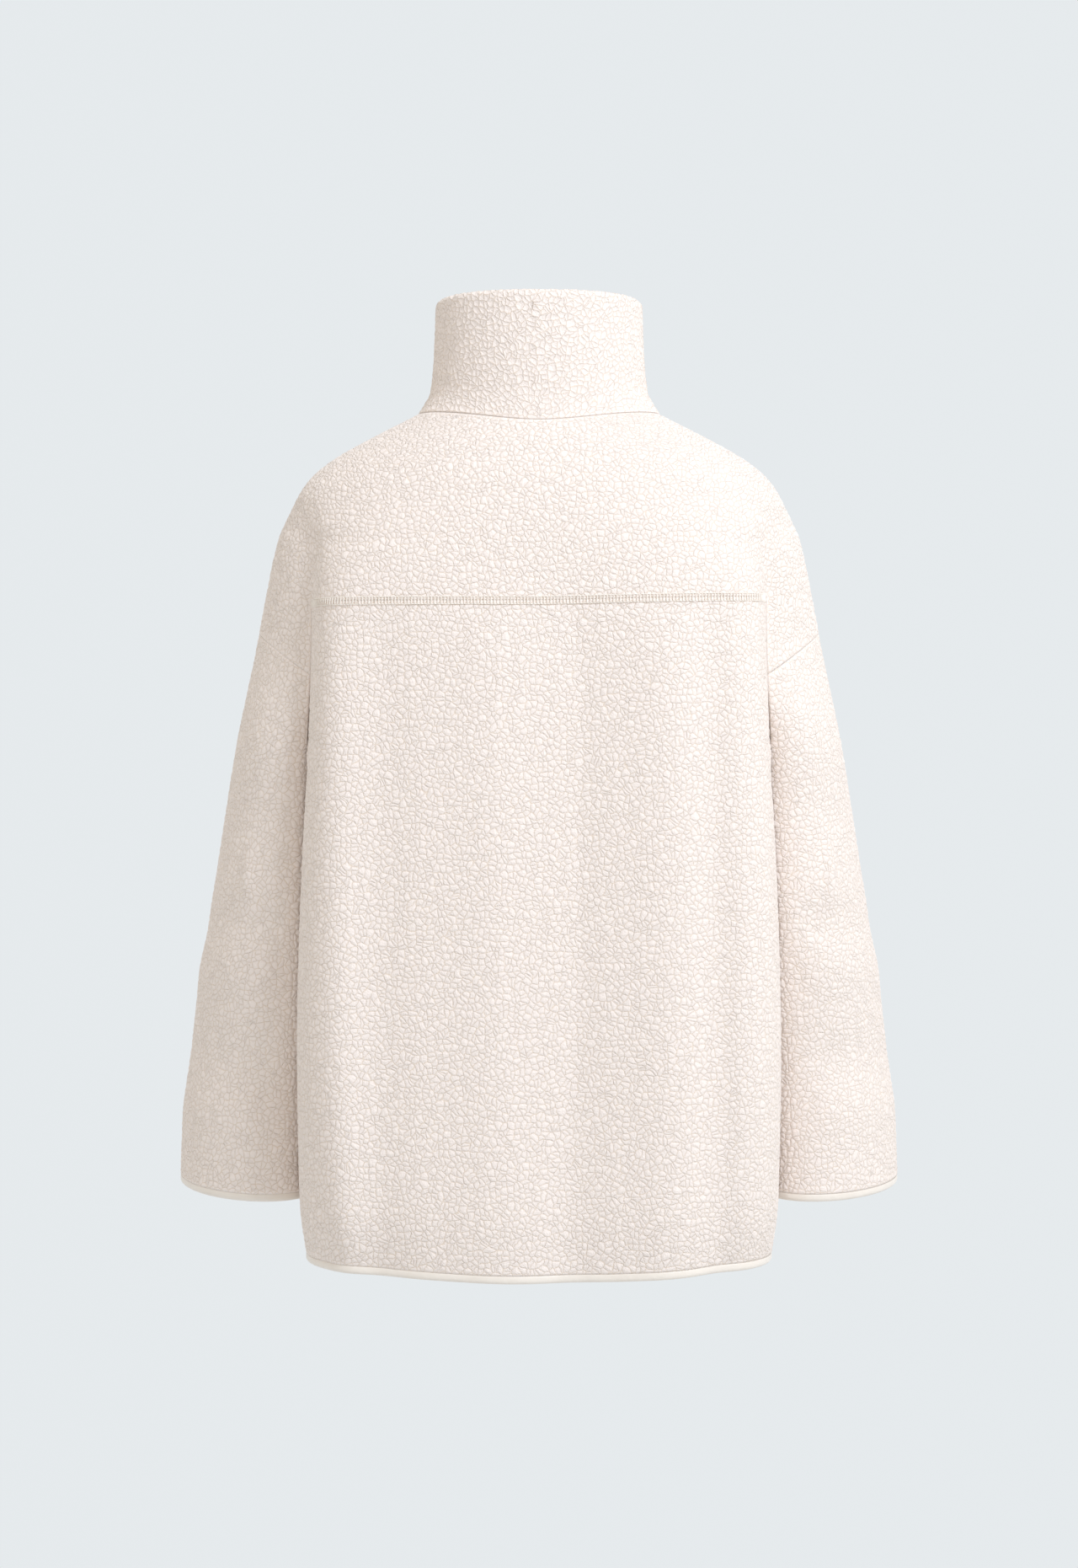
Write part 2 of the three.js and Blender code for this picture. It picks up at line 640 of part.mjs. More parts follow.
// A cut piece with its thickness. Pieces that meet share the direction of their edges, except
// where they lie back to back.
function clothSolid(surface, piece, wall) {
  const { own, all } = surface.normals(piece);
  const edges = surface.openEdges(piece);
  const shifts = edgeShifts(surface, edges, own);
  const solid = new Solid();
  const outer = new Map();
  const inner = new Map();
  for (const [id, ownNormal] of own) {
    const agreement = ownNormal.dot(all.get(id));
    const mitred = agreement > 0.3;
    const normal = mitred ? all.get(id) : ownNormal;
    const depth = mitred ? wall / Math.max(0.62, agreement) : wall;
    const p = surface.points[id].clone().add(shifts.get(id) ?? new THREE.Vector3());
    outer.set(id, solid.add(p));
    inner.set(id, solid.add(p.clone().addScaledVector(normal, -depth)));
  }
  for (const patch of surface.patches) {
    if (patch.piece !== piece) continue;
    solid.quad(...patch.loop.map((id) => outer.get(id)));
    solid.quad(...patch.loop.map((id) => inner.get(id)).reverse());
  }
  // Two pieces that share an edge split its face the same way.
  for (const [a, b] of edges) {
    const face = [outer.get(b), outer.get(a), inner.get(a), inner.get(b)];
    if (a < b) face.push(face.shift());
    solid.quad(...face);
  }
  return solid;
}

// Sweeps a closed section along stations, each a list of points; closed joins end to start.
function sweep(stations, closed) {
  const solid = new Solid();
  const rings = stations.map((ring) => ring.map((p) => solid.add(p)));
  const size = rings[0].length;
  const spans = closed ? rings.length : rings.length - 1;
  for (let s = 0; s < spans; s++) {
    const [here, next] = [rings[s], rings[(s + 1) % rings.length]];
    for (let i = 0; i < size; i++) {
      const j = (i + 1) % size;
      solid.quad(here[i], here[j], next[j], next[i]);
    }
  }
  if (closed) return solid;
  for (let i = 1; i + 1 < size; i++) {
    solid.faces.push([rings[0][0], rings[0][i + 1], rings[0][i]]);
    solid.faces.push([rings.at(-1)[0], rings.at(-1)[i], rings.at(-1)[i + 1]]);
  }
  return solid;
}

// A binding below an edge: stations are places on the cloth's edge with the cloth's outward
// normal there and the direction that leads away from the cloth.
function bindingSolid(edge, closed) {
  const rings = edge.map(({ place, normal, away }) => {
    const middle = place.clone().addScaledVector(normal, -SHEARLING / 2);
    const spot = (half, down) => middle.clone().addScaledVector(normal, half).addScaledVector(away, down);
    const front = BINDING_PROFILE.map(({ down, half }) => spot(half, down));
    const back = BINDING_PROFILE.map(({ down, half }) => spot(-half, down)).reverse();
    return [...front, ...back];
  });
  return sweep(rings, closed);
}

// The places along a grid's lowest row. Their normals come from all the cloth of some pieces.
function edgeStations(surface, pieces, ids, away) {
  const maps = pieces.map((piece) => surface.normals(piece).all);
  return ids.map((id) => ({
    place: surface.points[id],
    normal: maps.find((map) => map.has(id)).get(id).clone().projectOnPlane(away).normalize(),
    away,
  }));
}

// The hem from the left front edge round the back to the right front edge.
function hemStations(surface) {
  const idAt = (side, u) => surface.addPoint(bodyPlace(u, hemZ(u), side, true));
  const us = columnsOf(COLUMNS, 0, 4);
  const ids = [...us.map((u) => idAt(1, u)).reverse(), ...us.slice(1).map((u) => idAt(-1, u))];
  return edgeStations(surface, ["back", "front_left", "front_right"], ids, new THREE.Vector3(0, 0, -1));
}

function cuffStations(surface, piece, ids, side) {
  const loop = ids.slice(0, -1);
  if (side > 0) loop.reverse();
  const [a, b, c] = [0, 0.33, 0.66].map((share) => surface.points[loop[Math.floor(share * loop.length)]]);
  const away = b.clone().sub(a).cross(c.clone().sub(a)).normalize();
  if (away.z > 0) away.negate();
  return edgeStations(surface, [piece], loop, away);
}

// ---------------------------------------------------------------- zip
// Stations down one front edge: the place, the direction towards the midline and that outwards.
function zipStations(side) {
  const face = (z) => {
    const neck = neckSeamZ(4);
    if (z > neck) return collarPlace(4, (z - neck) / (COLLAR_TOP.front - neck), side);
    return bodyPlace(4, z, side);
  };
  const heights = [
    ...steps(HEM_Z - ZIP_ENDS.belowHem, ARMPIT_Z, ROWS.skirt),
    ...steps(ARMPIT_Z, ARMHOLE_CREASE_Z, ROWS.armhole).slice(1),
    ...steps(ARMHOLE_CREASE_Z, YOKE_Z, ROWS.shoulderBlade).slice(1),
    ...steps(0, 1, ROWS.shoulder).slice(1).map((t) => eased(t)).map((t) => mix(YOKE_Z, neckSeamZ(4), t)),
    ...steps(neckSeamZ(4), COLLAR_TOP.front - ZIP_ENDS.belowCollar, ROWS.collar).slice(1),
  ];
  const places = heights.map((z) => face(Math.max(z, HEM_Z)).setZ(z));
  return places.map((place, i) => {
    const up = places[Math.min(i + 1, places.length - 1)].clone().sub(places[Math.max(i - 1, 0)]);
    const out = new THREE.Vector3(0, -up.z, up.y).normalize();
    return { place, out };
  });
}

// A flat strip beside the midline, between two distances from it and two depths.
function zipStrip(stations, side, strip) {
  const rings = stations.map(({ place, out }) => {
    const spot = (x, depth) => new THREE.Vector3(side * x, place.y, place.z).addScaledVector(out, depth);
    const ring = [
      spot(strip.from, strip.front),
      spot(strip.to, strip.front),
      spot(strip.to, strip.back),
      spot(strip.from, strip.back),
    ];
    return side > 0 ? ring : ring.reverse();
  });
  return sweep(rings, false);
}

// The frame at a height on the closed zip: its place on the midline, up along it and outwards.
function zipFrame(z) {
  const stations = zipStations(1);
  const k = Math.max(1, stations.findIndex(({ place }) => place.z >= z));
  const [low, high] = [stations[k - 1].place, stations[k].place];
  const t = (z - low.z) / (high.z - low.z);
  const place = new THREE.Vector3(0, mix(low.y, high.y, t), z);
  const up = high.clone().sub(low).setX(0).normalize();
  return { place, up, out: new THREE.Vector3(0, -up.z, up.y) };
}

// A plate in the zip's frame: outline points are [x, up], extruded between two depths.
function zipPlate(frame, outlinePoints, back, front) {
  const spot = (x, up, depth) =>
    new THREE.Vector3(x, 0, 0)
      .add(frame.place)
      .addScaledVector(frame.up, up)
      .addScaledVector(frame.out, depth);
  const rings = [back, front].map((depth) => outlinePoints.map(([x, up]) => spot(x, up, depth)));
  return sweep(rings, false);
}

// Join shapes that run into each other, and cut others from them.
let manifoldKit = null;

function toManifold(solid) {
  const vertProperties = new Float32Array(solid.points.flatMap((p) => p.toArray()));
  const triVerts = new Uint32Array(solid.faces.flat());
  return new manifoldKit.Manifold(new manifoldKit.Mesh({ numProp: 3, vertProperties, triVerts }));
}

function fromManifold(shape) {
  const mesh = shape.getMesh();
  const solid = new Solid();
  for (let i = 0; i < mesh.vertProperties.length; i += mesh.numProp) {
    solid.add(new THREE.Vector3(...mesh.vertProperties.slice(i, i + 3)));
  }
  for (let i = 0; i < mesh.triVerts.length; i += 3) {
    solid.faces.push([...mesh.triVerts.slice(i, i + 3)]);
  }
  return solid;
}

// The slider: a shield that straddles the chain, and an arched bridge that holds the pull.
function sliderSolid() {
  const frame = zipFrame(SLIDER.z);
  const half = SLIDER.tall / 2;
  const { topHalf, bottomHalf, corner, cheek } = SLIDER;
  const rightSide = [
    [bottomHalf - corner, -half],
    [bottomHalf, -half + corner],
    [topHalf, half - cheek],
    [topHalf - corner, half - corner],
  ];
  const leftSide = rightSide.map(([x, up]) => [-x, up]).reverse();
  const body = zipPlate(frame, [...rightSide, [0, half], ...leftSide], SLIDER.back, SLIDER.front);
  return fromManifold(toManifold(body).add(toManifold(bridgeSolid(frame))));
}

function bridgeSolid(frame) {
  const foot = frame.place.clone().addScaledVector(frame.out, SLIDER.front - BRIDGE.sunk);
  const spot = (x, turn, tall, rise) =>
    new THREE.Vector3(x, 0, 0)
      .add(foot)
      .addScaledVector(frame.up, Math.cos(turn) * tall)
      .addScaledVector(frame.out, Math.sin(turn) * rise);
  const outer = [BRIDGE.tall / 2, BRIDGE.reach];
  const inner = outer.map((size) => size - BRIDGE.bar * 2);
  const arch = steps(0, Math.PI, 10).map((turn) => [
    spot(-BRIDGE.bar, turn, ...inner),
    spot(BRIDGE.bar, turn, ...inner),
    spot(BRIDGE.bar, turn, ...outer),
    spot(-BRIDGE.bar, turn, ...outer),
  ]);
  return sweep(arch, false);
}

// The pull's axis, where its bar lies in the bridge.
function pullAxis() {
  const frame = zipFrame(SLIDER.z);
  const underBridge = SLIDER.front - BRIDGE.sunk + BRIDGE.reach - BRIDGE.bar * 2;
  return frame.place.clone().addScaledVector(frame.out, underBridge - PULL.barRadius - PULL.slack);
}

// The pull hangs straight down: a bar through the bridge, two arms and a cornered tab.
function pullSolid() {
  const frame = { place: pullAxis(), up: new THREE.Vector3(0, 0, 1), out: new THREE.Vector3(0, -1, 0) };
  const { barRadius, armX, loop, tab, tabHalf, corner } = PULL;
  const half = PULL.thick / 2;
  const inset = armX - half;
  const plateOutline = [
    [-tabHalf, -loop - tab + corner],
    [-tabHalf + corner, -loop - tab],
    [tabHalf - corner, -loop - tab],
    [tabHalf, -loop - tab + corner],
    [tabHalf, -loop],
    [armX + half, barRadius],
    [-armX - half, barRadius],
    [-tabHalf, -loop],
  ];
  const holeOutline = [
    [-inset, -loop + half],
    [inset, -loop + half],
    [inset, -barRadius],
    [-inset, -barRadius],
  ];
  const plate = zipPlate(frame, plateOutline, -half, half);
  const hole = zipPlate(frame, holeOutline, -PULL.thick, PULL.thick);
  return fromManifold(toManifold(plate).subtract(toManifold(hole)));
}

// The box at the zip's foot that the two chains run down into.
function boxSolid() {
  const half = BOX.tall / 2;
  const frame = zipFrame(HEM_Z + BOX.aboveHem + half);
  const plate = [
    [-BOX.half, -half + BOX.corner],
    [-BOX.half + BOX.corner, -half],
    [BOX.half - BOX.corner, -half],
    [BOX.half, -half + BOX.corner],
    [BOX.half - BOX.corner / 2, half],
    [-BOX.half + BOX.corner / 2, half],
  ];
  return zipPlate(frame, plate, BOX.back, BOX.front);
}

// ---------------------------------------------------------------- assembly
const FLEECE = { color: 0xece1d6, roughness: 0.97 };
const SATIN = { color: 0xf3e9d8, roughness: 0.6 };
const WEBBING = { color: 0xe9dfcf, roughness: 0.85 };
const MOULDED = { color: 0xe6dac6, roughness: 0.5 };
const METAL = { color: 0xb9ad97, roughness: 0.35, metalness: 1 };

function addPart(group, name, solid, looks) {
  const mesh = new THREE.Mesh(solid.geometry(), new THREE.MeshStandardMaterial(looks));
  mesh.name = name;
  group.add(mesh);
}

function addCloth(group, surface) {
  const cutPieces = ["back", "yoke", "front_left", "front_right", "sleeve_left", "sleeve_right"];
  for (const piece of cutPieces) addPart(group, piece, clothSolid(surface, piece, SHEARLING), FLEECE);
  addPart(group, "collar", clothSolid(surface, "collar", COLLAR_WALL), FLEECE);
}

function addZip(group) {
  for (const [side, name] of [[1, "left"], [-1, "right"]]) {
    const stations = zipStations(side);
    const sliderFoot = SLIDER.z - SLIDER.tall / 2 - SEAM;
    const boxTop = HEM_Z + BOX.aboveHem + BOX.tall + SEAM;
    const chain = stations.filter(({ place }) => place.z > boxTop && place.z < sliderFoot);
    const ends = [boxTop, sliderFoot].map(zipFrame);
    addPart(group, `zip_tape_${name}`, zipStrip(stations, side, TAPE), WEBBING);
    addPart(group, `zip_chain_${name}`, zipStrip([ends[0], ...chain, ends[1]], side, CHAIN), MOULDED);
  }
  addPart(group, "zip_box", boxSolid(), MOULDED);
  addPart(group, "zip_slider", sliderSolid(), METAL);
  addPart(group, "zip_pull", pullSolid(), METAL);
}

manifoldKit = await Module();
manifoldKit.setup();

const jacket = new THREE.Group();
const surface = new Surface();
for (const [side, name] of [[1, "left"], [-1, "right"]]) {
  addBody(surface, side, `front_${name}`);
  addCollar(surface, side);
}
const cuffs = [
  { name: "left", side: 1, ids: addSleeve(surface, 1, "sleeve_left") },
  { name: "right", side: -1, ids: addSleeve(surface, -1, "sleeve_right") },
];
addCloth(jacket, surface);
addPart(jacket, "hem_binding", bindingSolid(hemStations(surface), false), SATIN);
for (const { name, side, ids } of cuffs) {
  const stations = cuffStations(surface, `sleeve_${name}`, ids, side);
  addPart(jacket, `cuff_binding_${name}`, bindingSolid(stations, true), SATIN);
}
addZip(jacket);

export default jacket;
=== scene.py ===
"""A cream faux shearling jacket in its worn shape, seen from behind.

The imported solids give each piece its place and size. The fleece pieces are built again here
from the same level sections as the solids, with a closer grid, so that the pile can be raised
in curls. Sizes in the tables are millimetres; Blender's are metres.
"""

import bpy
import numpy as np
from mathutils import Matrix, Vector, kdtree


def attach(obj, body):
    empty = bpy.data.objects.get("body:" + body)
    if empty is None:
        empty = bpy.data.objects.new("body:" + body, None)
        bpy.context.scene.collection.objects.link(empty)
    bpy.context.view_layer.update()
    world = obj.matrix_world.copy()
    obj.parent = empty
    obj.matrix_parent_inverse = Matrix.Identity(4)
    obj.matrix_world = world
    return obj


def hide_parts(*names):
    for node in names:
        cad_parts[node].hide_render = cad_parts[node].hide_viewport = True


MM = 0.001

# ---- sizes shared with the solids
SHEARLING = 6.0  # backing knit and pile together
COLLAR_WALL = 9.0  # the collar is folded double
HEM_Z = -736.0  # cloth edge at the middle of the hem, above the binding
HEM_RISE = 7.0  # how much higher that is at the sides
YOKE_Z = -167.0  # seam between yoke and back
YOKE_RISE = 5.0  # how much higher that is beside the right arm
ARMPIT_Z = -285.0
ARMHOLE_CREASE_Z = -228.0  # where the armhole seam enters the creases
ARMHOLE_TOP_Z = -188.0  # its highest point, on the outside of the arm
ARMHOLE_POINT = 0.35  # 0 makes that a round top, 1 a pointed one
CUFF_Z = -674.0  # cloth edge at the middle of the cuff, above the binding
CUFF_SLOPE = -0.1  # how its edge climbs towards the back
NECK = {"wide": 106.0, "back": 83.0, "front": 89.0}  # the neck opening, seen from above
COLLAR_TOP = {"back": 103.0, "side": 100.0, "front": 74.0}  # heights of its upper edge
COLLAR_HEAD = {"wide": 90.0, "back": 76.0, "front": 80.0, "fullness": 0.9}  # that edge from above
SIDE_SEAM_Y = -14.0
ZIP_HALF = 5.5  # from the midline to the edge of each front
ZIP_ENDS = {"below_hem": 6, "below_collar": 2}
TOUCH_GAP = 4.0  # between sleeve and body at the armpit
HANG_GAP = 6.0  # the same lower down
HANG_DROP = 70.0  # this far below the armpit
FOLD_TOP_Z = -120.0
FOLD_START = 0.65  # share of a fold that is there from near its top on
FOLD_HASTE = 6.0  # how many times sooner that share is there
FOLD_EVENNESS = 6  # how near the sides the folds die out
SLEEVE_FOLD_DROP = 60.0  # this far below the armpit they are full
SLEEVE_FOLD_SIDE = {"from": -0.45, "over": 0.5}  # cosines of angles round the arm
ARM_TOP_Z = -80.0  # above it the arm lies wholly inside the shoulder
SMOOTH_MARKS = (0.38, 0.63)
SMOOTH_FROM_Z = -70.0
CREASED_FROM_Z = -135.0
CALM = {"z": -88.0, "wide": 22.0, "reach": 14.0}  # where neighbouring levels are evened out
SHOULDER_SEAM_SHARE = 0.54  # from the back crease to the front one
LEAST_ROUNDING = 0.5
MOST_ROUNDING = 0.45  # as a share of the arm's outline

# Body sections: height, half width, reach of back and front, squareness of the corners.
BODY = np.array([
    (12, 90, 64, 46, 2.0),
    (2, 106, 74, 55, 2.05),
    (-13, 135, 85, 68, 2.1),
    (-30, 167, 96, 78, 2.15),
    (-42, 186, 101, 84, 2.2),
    (-54, 200, 106, 90, 2.2),
    (-66, 209, 110, 95, 2.25),
    (-80, 216, 113, 100, 2.3),
    (-95, 212, 116, 105, 2.7),
    (-112, 202, 118, 109, 3.2),
    (-132, 197, 120, 114, 4.2),
    (-167, 196, 123, 119, 5.2),
    (-285, 199, 127, 127, 6.0),
    (-400, 205, 129, 130, 6.0),
    (-550, 209, 131, 134, 5.6),
    (-680, 208, 132, 137, 4.0),
    (-742, 202, 127, 133, 2.8),
])

# Arm sections: height, outer edge, half width, half depth, centre towards the back, slant forwards.
ARM = np.array([
    (-80, 215, 56, 50, -1, 0),
    (-95, 225, 62, 59, 0, 0.02),
    (-122, 233, 65, 67, 1, 0.1),
    (-167, 243, 65, 66, 1, 0.27),
    (-211, 252, 58, 64, -2, 0.4),
    (-285, 267, 44, 65, -8, 0.3),
    (-350, 279, 48, 65, -19, 0.4),
    (-420, 290, 52, 66, -22, 0.42),
    (-500, 304, 57, 62, -33, 0.45),
    (-580, 316, 61, 64, -50, 0.42),
    (-640, 322, 63, 68, -57, 0.38),
    (-700, 324, 63, 68, -60, 0.36),
])

# Upright folds: place where they start and at the hem, reach at the hem, half width.
BACK_FOLDS = [
    (184, 170, 8, 20),
    (132, 136, -5, 24),
    (42, 36, 5, 36),
    (-24, -28, -6, 26),
    (-104, -110, 6, 30),
    (-148, -154, -8, 18),
]
FRONT_FOLDS = [
    (120, 130, -5, 24),
    (64, 72, 4, 26),
    (-58, -66, 4.5, 24),
    (-118, -124, -4.5, 26),
]

# Drag folds round the sleeves: height, angle, reach, half height, half length as an angle.
SLEEVE_FOLDS = [
    (-400, 70, 4, 26, 6),
    (-442, 110, -5, 20, 70),
    (-486, 60, 3.5, 22, 70),
    (-560, 80, -3.5, 22, 60),
    (-610, 70, 3, 20, 60),
    (-430, -60, 4.5, 24, 50),
]

# How far the outline's corners are rounded: height, crease beside the arm, hollow for the sleeve.
ROUNDING = np.array([
    (-40, 60, 0),
    (-80, 46, 0),
    (-110, 20, 0),
    (-167, 6, 0),
    (-228, 3, 0),
    (-285, 0, 0),
    (-330, 0, 8),
    (-742, 0, 10),
])

# The collar's lean: share of its height, share of the way to its top edge.
COLLAR_LEAN = np.array([(1, 1), (0.55, 0.9), (0.2, 0.7), (0.07, 0.3), (0, 0)])

# ---- how finely shapes are drawn
OUTLINE_POINTS = {"whole": 500, "stretch": 240, "below": 700, "corner": 25}
CREASE_ANGLES = np.linspace(88, 0, 1761)  # from the back or front
LEVEL_STEP = {"above": 2.0, "below": 4.0}
NECK_SEARCH = {"lowest": -70.0, "halvings": 24}
GRID = 1.8  # spacing of the fleece's grid
COARSE = 8  # the plain inner side has one patch for this many each way
COLUMN_LENGTHS = (178, 100, 92, 165)  # of each quarter of the half outline
INNER_ARM_LENGTH = 90
ROW_LENGTHS = {"skirt": 450, "belt": 118, "blade": 48, "shoulder": 205, "sleeve": 386, "cap": 78}
SKIRT_EASE = 30.0  # height over which it eases into the rows above
COLLAR_COLUMNS = [64, 24, 20, 60]
COLLAR_ROWS = 56
COLLAR_TALL = 95.0
COLLAR_FOLD_STEPS = 9
COLLAR_MEASURED_ROW = 30  # the row along which its length is taken
HEM_COLUMNS = [110, 45, 45, 105]
CUFF_POINTS = 200
SEAM_POINTS = 401

# ---- pile
CURL = 4.9  # size of one curl
CURL_DRIFT = {"size": 11, "reach": 7}  # how unevenly the curls are spread
SMALL_CURL = 0.45  # the small curls' size against the large
CURL_SHARES = {"large": 0.72, "small": 0.28}  # of the pile's height
CURL_SHOULDERS = {"large": 0.45, "small": 0.4}  # distance from the gap where they are full
PILE_DEPTH = 1.3  # from the curls' tops down to the gaps between them
PILE_LEVEL = 0.8  # share of its height below the cloth's outer face
EDGE_ROLL = 0.3  # radius at which the cloth turns in along its seams
PINCH = 3.4  # width beside a seam where the pile is pressed flat
SEAM_PILE = 0.15  # share of the pile that stands there
LAY_SHIFT = 1000  # keeps pieces apart on the flat cloth
LAY_SHIFTS = 7
GAP_SHADE_WIDTH = 0.11  # width of the painted shade in the gaps round the curls

# ---- trims
BINDING_LIPS = np.array([(2.3, -0.4), (2.8, 1.2)])  # half thickness, drop from the cloth's edge
BINDING_ROUND = {"half": 3.0, "middle": 3.6, "deep": 3.4}
TAPE_STEP = 4.0
# Across the zip tape: distance from the midline, reach outwards.
TAPE_SECTION = np.array(
    [(0.5, -2.4), (3.2, -2.2), (5.8, -2.4), (5.9, -3.0), (5.8, -3.6), (3.2, -3.4), (0.5, -3.6)]
)
TOOTH_PITCH = 2.6
TOOTH = {"half_tall": 0.78, "half_deep": 1.15, "sunk": 0.8, "sides": 8}
# Along a tooth from its tip: distance from the midline, share of its full size.
TOOTH_SECTIONS = [(-1.0, 0.55), (-0.7, 0.9), (0.9, 1.0), (1.9, 0.7), (2.6, 1.0), (3.1, 0.5)]
TEETH_LEFT_OUT = {"first": 8, "last": 4}  # half pitches at the ends of the zip
SEAM_BAND = 6.4  # between the two needle rows
SEAM_PITCH = 2.8
SEAM_LIFT = 0.7
STITCH_SHARE = 0.85  # of the pitch; the rest is a gap
THREAD = {"radius": 0.42, "sides": 6}
THREAD_SWELL = [(0, 0.4), (0.2, 1), (0.8, 1), (1, 0.4)]  # shares of its length and radius

# ---- looks
# Each surface's darker and lighter colour; the fleece's darker one is painted shade in the gaps between
# its curls.
COLOURS = {
    "fleece": ((0.84, 0.72, 0.61), (0.96, 0.87, 0.815)),
    "lining": ((0.74, 0.66, 0.55), (0.8, 0.73, 0.63)),
    "satin": ((0.84, 0.77, 0.69), (0.9, 0.84, 0.77)),
    "thread": ((0.96, 0.9, 0.82), (0.98, 0.94, 0.88)),
    "tape": ((0.7, 0.62, 0.5), (0.82, 0.76, 0.65)),
    "moulded": ((0.8, 0.74, 0.62), (0.88, 0.83, 0.73)),
    "metal": ((0.62, 0.6, 0.56), (0.72, 0.7, 0.66)),
    "floor": ((0.74, 0.77, 0.79), (0.76, 0.79, 0.81)),
}
ROOM_COLOUR = (0.79, 0.825, 0.845)  # beyond the jacket
ROOM_WARM = (0.87, 0.84, 0.8)  # elsewhere
ROOM_TURN = {"From Min": -0.3, "From Max": -0.8}  # where this turns into that
ROOM_ASIDE = 0.06
ROOM_BEHIND = 0.26
KEY = {"place": (-1.6, 2.2, 1.8), "size": 1.1, "power": 74, "colour": (0.82, 0.89, 1.0)}
CENTRE = (0, 0, -0.32)
CAMERA = {"place": (0, 3.0, -0.322), "lens": 78.4, "sensor": 36}
FLOOR = {"radius": 2200, "z": -1550, "sides": 96}


# ---- small helpers
def mix(a, b, t):
    return a + (b - a) * t


def smooth(t):
    t = np.clip(t, 0, 1)
    return t * t * (3 - 2 * t)


def at(table, column, z):
    """One column of a table whose rows run downwards, at heights z, without kinks or overshoot."""
    levels, values = table[::-1, 0], table[::-1, column]
    slopes = np.diff(values) / np.diff(levels)
    above, below = slopes[1:], slopes[:-1]
    turning = above * below <= 0
    inner = np.where(turning, 0, 2 * above * below / np.where(turning, 1, above + below))
    tangents = np.concatenate([slopes[:1], inner, slopes[-1:]])
    z = np.clip(z, levels[0], levels[-1])
    k = np.clip(np.searchsorted(levels, z, side="right") - 1, 0, len(levels) - 2)
    step = levels[k + 1] - levels[k]
    t = (z - levels[k]) / step
    return (
        (2 * t**3 - 3 * t**2 + 1) * values[k]
        + (t**3 - 2 * t**2 + t) * step * tangents[k]
        + (3 * t**2 - 2 * t**3) * values[k + 1]
        + (t**3 - t**2) * step * tangents[k + 1]
    )


def soft_min(a, b, ease):
    near = np.clip(1 - np.abs(a - b) / max(ease, 0.01), 0, 1)
    return np.minimum(a, b) - 0.25 * ease * near * near


def unit(directions):
    return directions / np.linalg.norm(directions, axis=-1, keepdims=True)


def round_turn(count):
    return np.linspace(0, 2 * np.pi, count + 1)[:-1]


def travelled(line):
    """How far along a line of [x, y] each of its points lies."""
    return np.concatenate([[0], np.cumsum(np.hypot(*np.diff(line, axis=0).T))])


def along(line, distances):
    gone = travelled(line)
    return np.column_stack([np.interp(distances, gone, line[:, i]) for i in (0, 1)])


# ---- sections of body and arm
def fold_reach(folds, x, z):
    down = np.clip((FOLD_TOP_Z - z) / (FOLD_TOP_Z - HEM_Z), 0, 1)
    growth = mix(down, smooth(down * FOLD_HASTE), FOLD_START)
    total = 0
    for top, hem, reach, wide in folds:
        total = total + reach * growth * np.exp(-(((x - mix(top, hem, down)) / wide) ** 2))
    return total


def body_points(z, side, angles):
    power = 2 / at(BODY, 4, z)
    wide = at(BODY, 1, z)
    turn = np.radians(angles)
    x = wide * np.maximum(0, np.cos(turn)) ** power
    share = np.abs(np.sin(turn)) ** power
    calm = 1 - (x / wide) ** FOLD_EVENNESS
    back = at(BODY, 2, z) * share + calm * fold_reach(BACK_FOLDS, side * x, z)
    front = -at(BODY, 3, z) * share - calm * fold_reach(FRONT_FOLDS, side * x, z)
    return np.column_stack([x, np.where(angles >= 0, back, front)])


def arm_points(z, angles):
    """Points of the arm's outline; z and angles may both be arrays."""
    wide, deep = at(ARM, 2, z), at(ARM, 3, z)
    turn = np.radians(angles)
    beside = smooth((np.cos(turn) - SLEEVE_FOLD_SIDE["from"]) / SLEEVE_FOLD_SIDE["over"])
    clear = smooth((ARMPIT_Z - z) / SLEEVE_FOLD_DROP) * beside
    reach = 0
    for height, angle, size, tall, length in SLEEVE_FOLDS:
        off = ((z - height) / tall) ** 2 + ((angles - angle) / length) ** 2
        reach = reach + size * clear * np.exp(-off)
    aside = (wide + reach) * np.cos(turn)
    y = at(ARM, 4, z) + (deep + reach) * np.sin(turn) - at(ARM, 5, z) * aside
    return np.stack([at(ARM, 1, z) - wide + aside, y], axis=-1)


def arm_share(z, points):
    """Places in the arm's outline, as shares of its half width and half depth."""
    wide = at(ARM, 2, z)
    aside = points[..., 0] - (at(ARM, 1, z) - wide)
    behind = points[..., 1] - at(ARM, 4, z) + at(ARM, 5, z) * aside
    return aside / wide, behind / at(ARM, 3, z)


def arm_inner_x(z, y):
    """How far out the arm's inner side lies at places y from front to back."""
    wide, deep, slant = at(ARM, 2, z), at(ARM, 3, z), at(ARM, 5, z)
    tilt = slant * wide / deep
    top = np.hypot(1, tilt)
    off = np.clip((y - at(ARM, 4, z)) / deep, -top, top)
    reach = np.sqrt(top * top - off * off)
    return at(ARM, 1, z) - wide - wide * (off * tilt + reach) / (1 + tilt * tilt)


def arm_angle(z, points):
    across, deep = arm_share(z, points)
    return np.degrees(np.arctan2(deep, across))


def crease_angle(z, side, way):
    """The body's angle where its outline runs into the arm's, or None above the arm."""
    if z > ARM_TOP_Z:
        return None
    outside = np.hypot(*arm_share(z, body_points(z, side, way * CREASE_ANGLES))) - 1
    inside = np.flatnonzero(outside < 0)
    if len(inside) == 0:
        return None
    k = inside[0]
    share = outside[k - 1] / (outside[k - 1] - outside[k])
    return way * mix(CREASE_ANGLES[k - 1], CREASE_ANGLES[k], share)


def zip_angle(z):
    return -np.degrees(np.arccos((ZIP_HALF / at(BODY, 1, z)) ** (at(BODY, 4, z) / 2)))


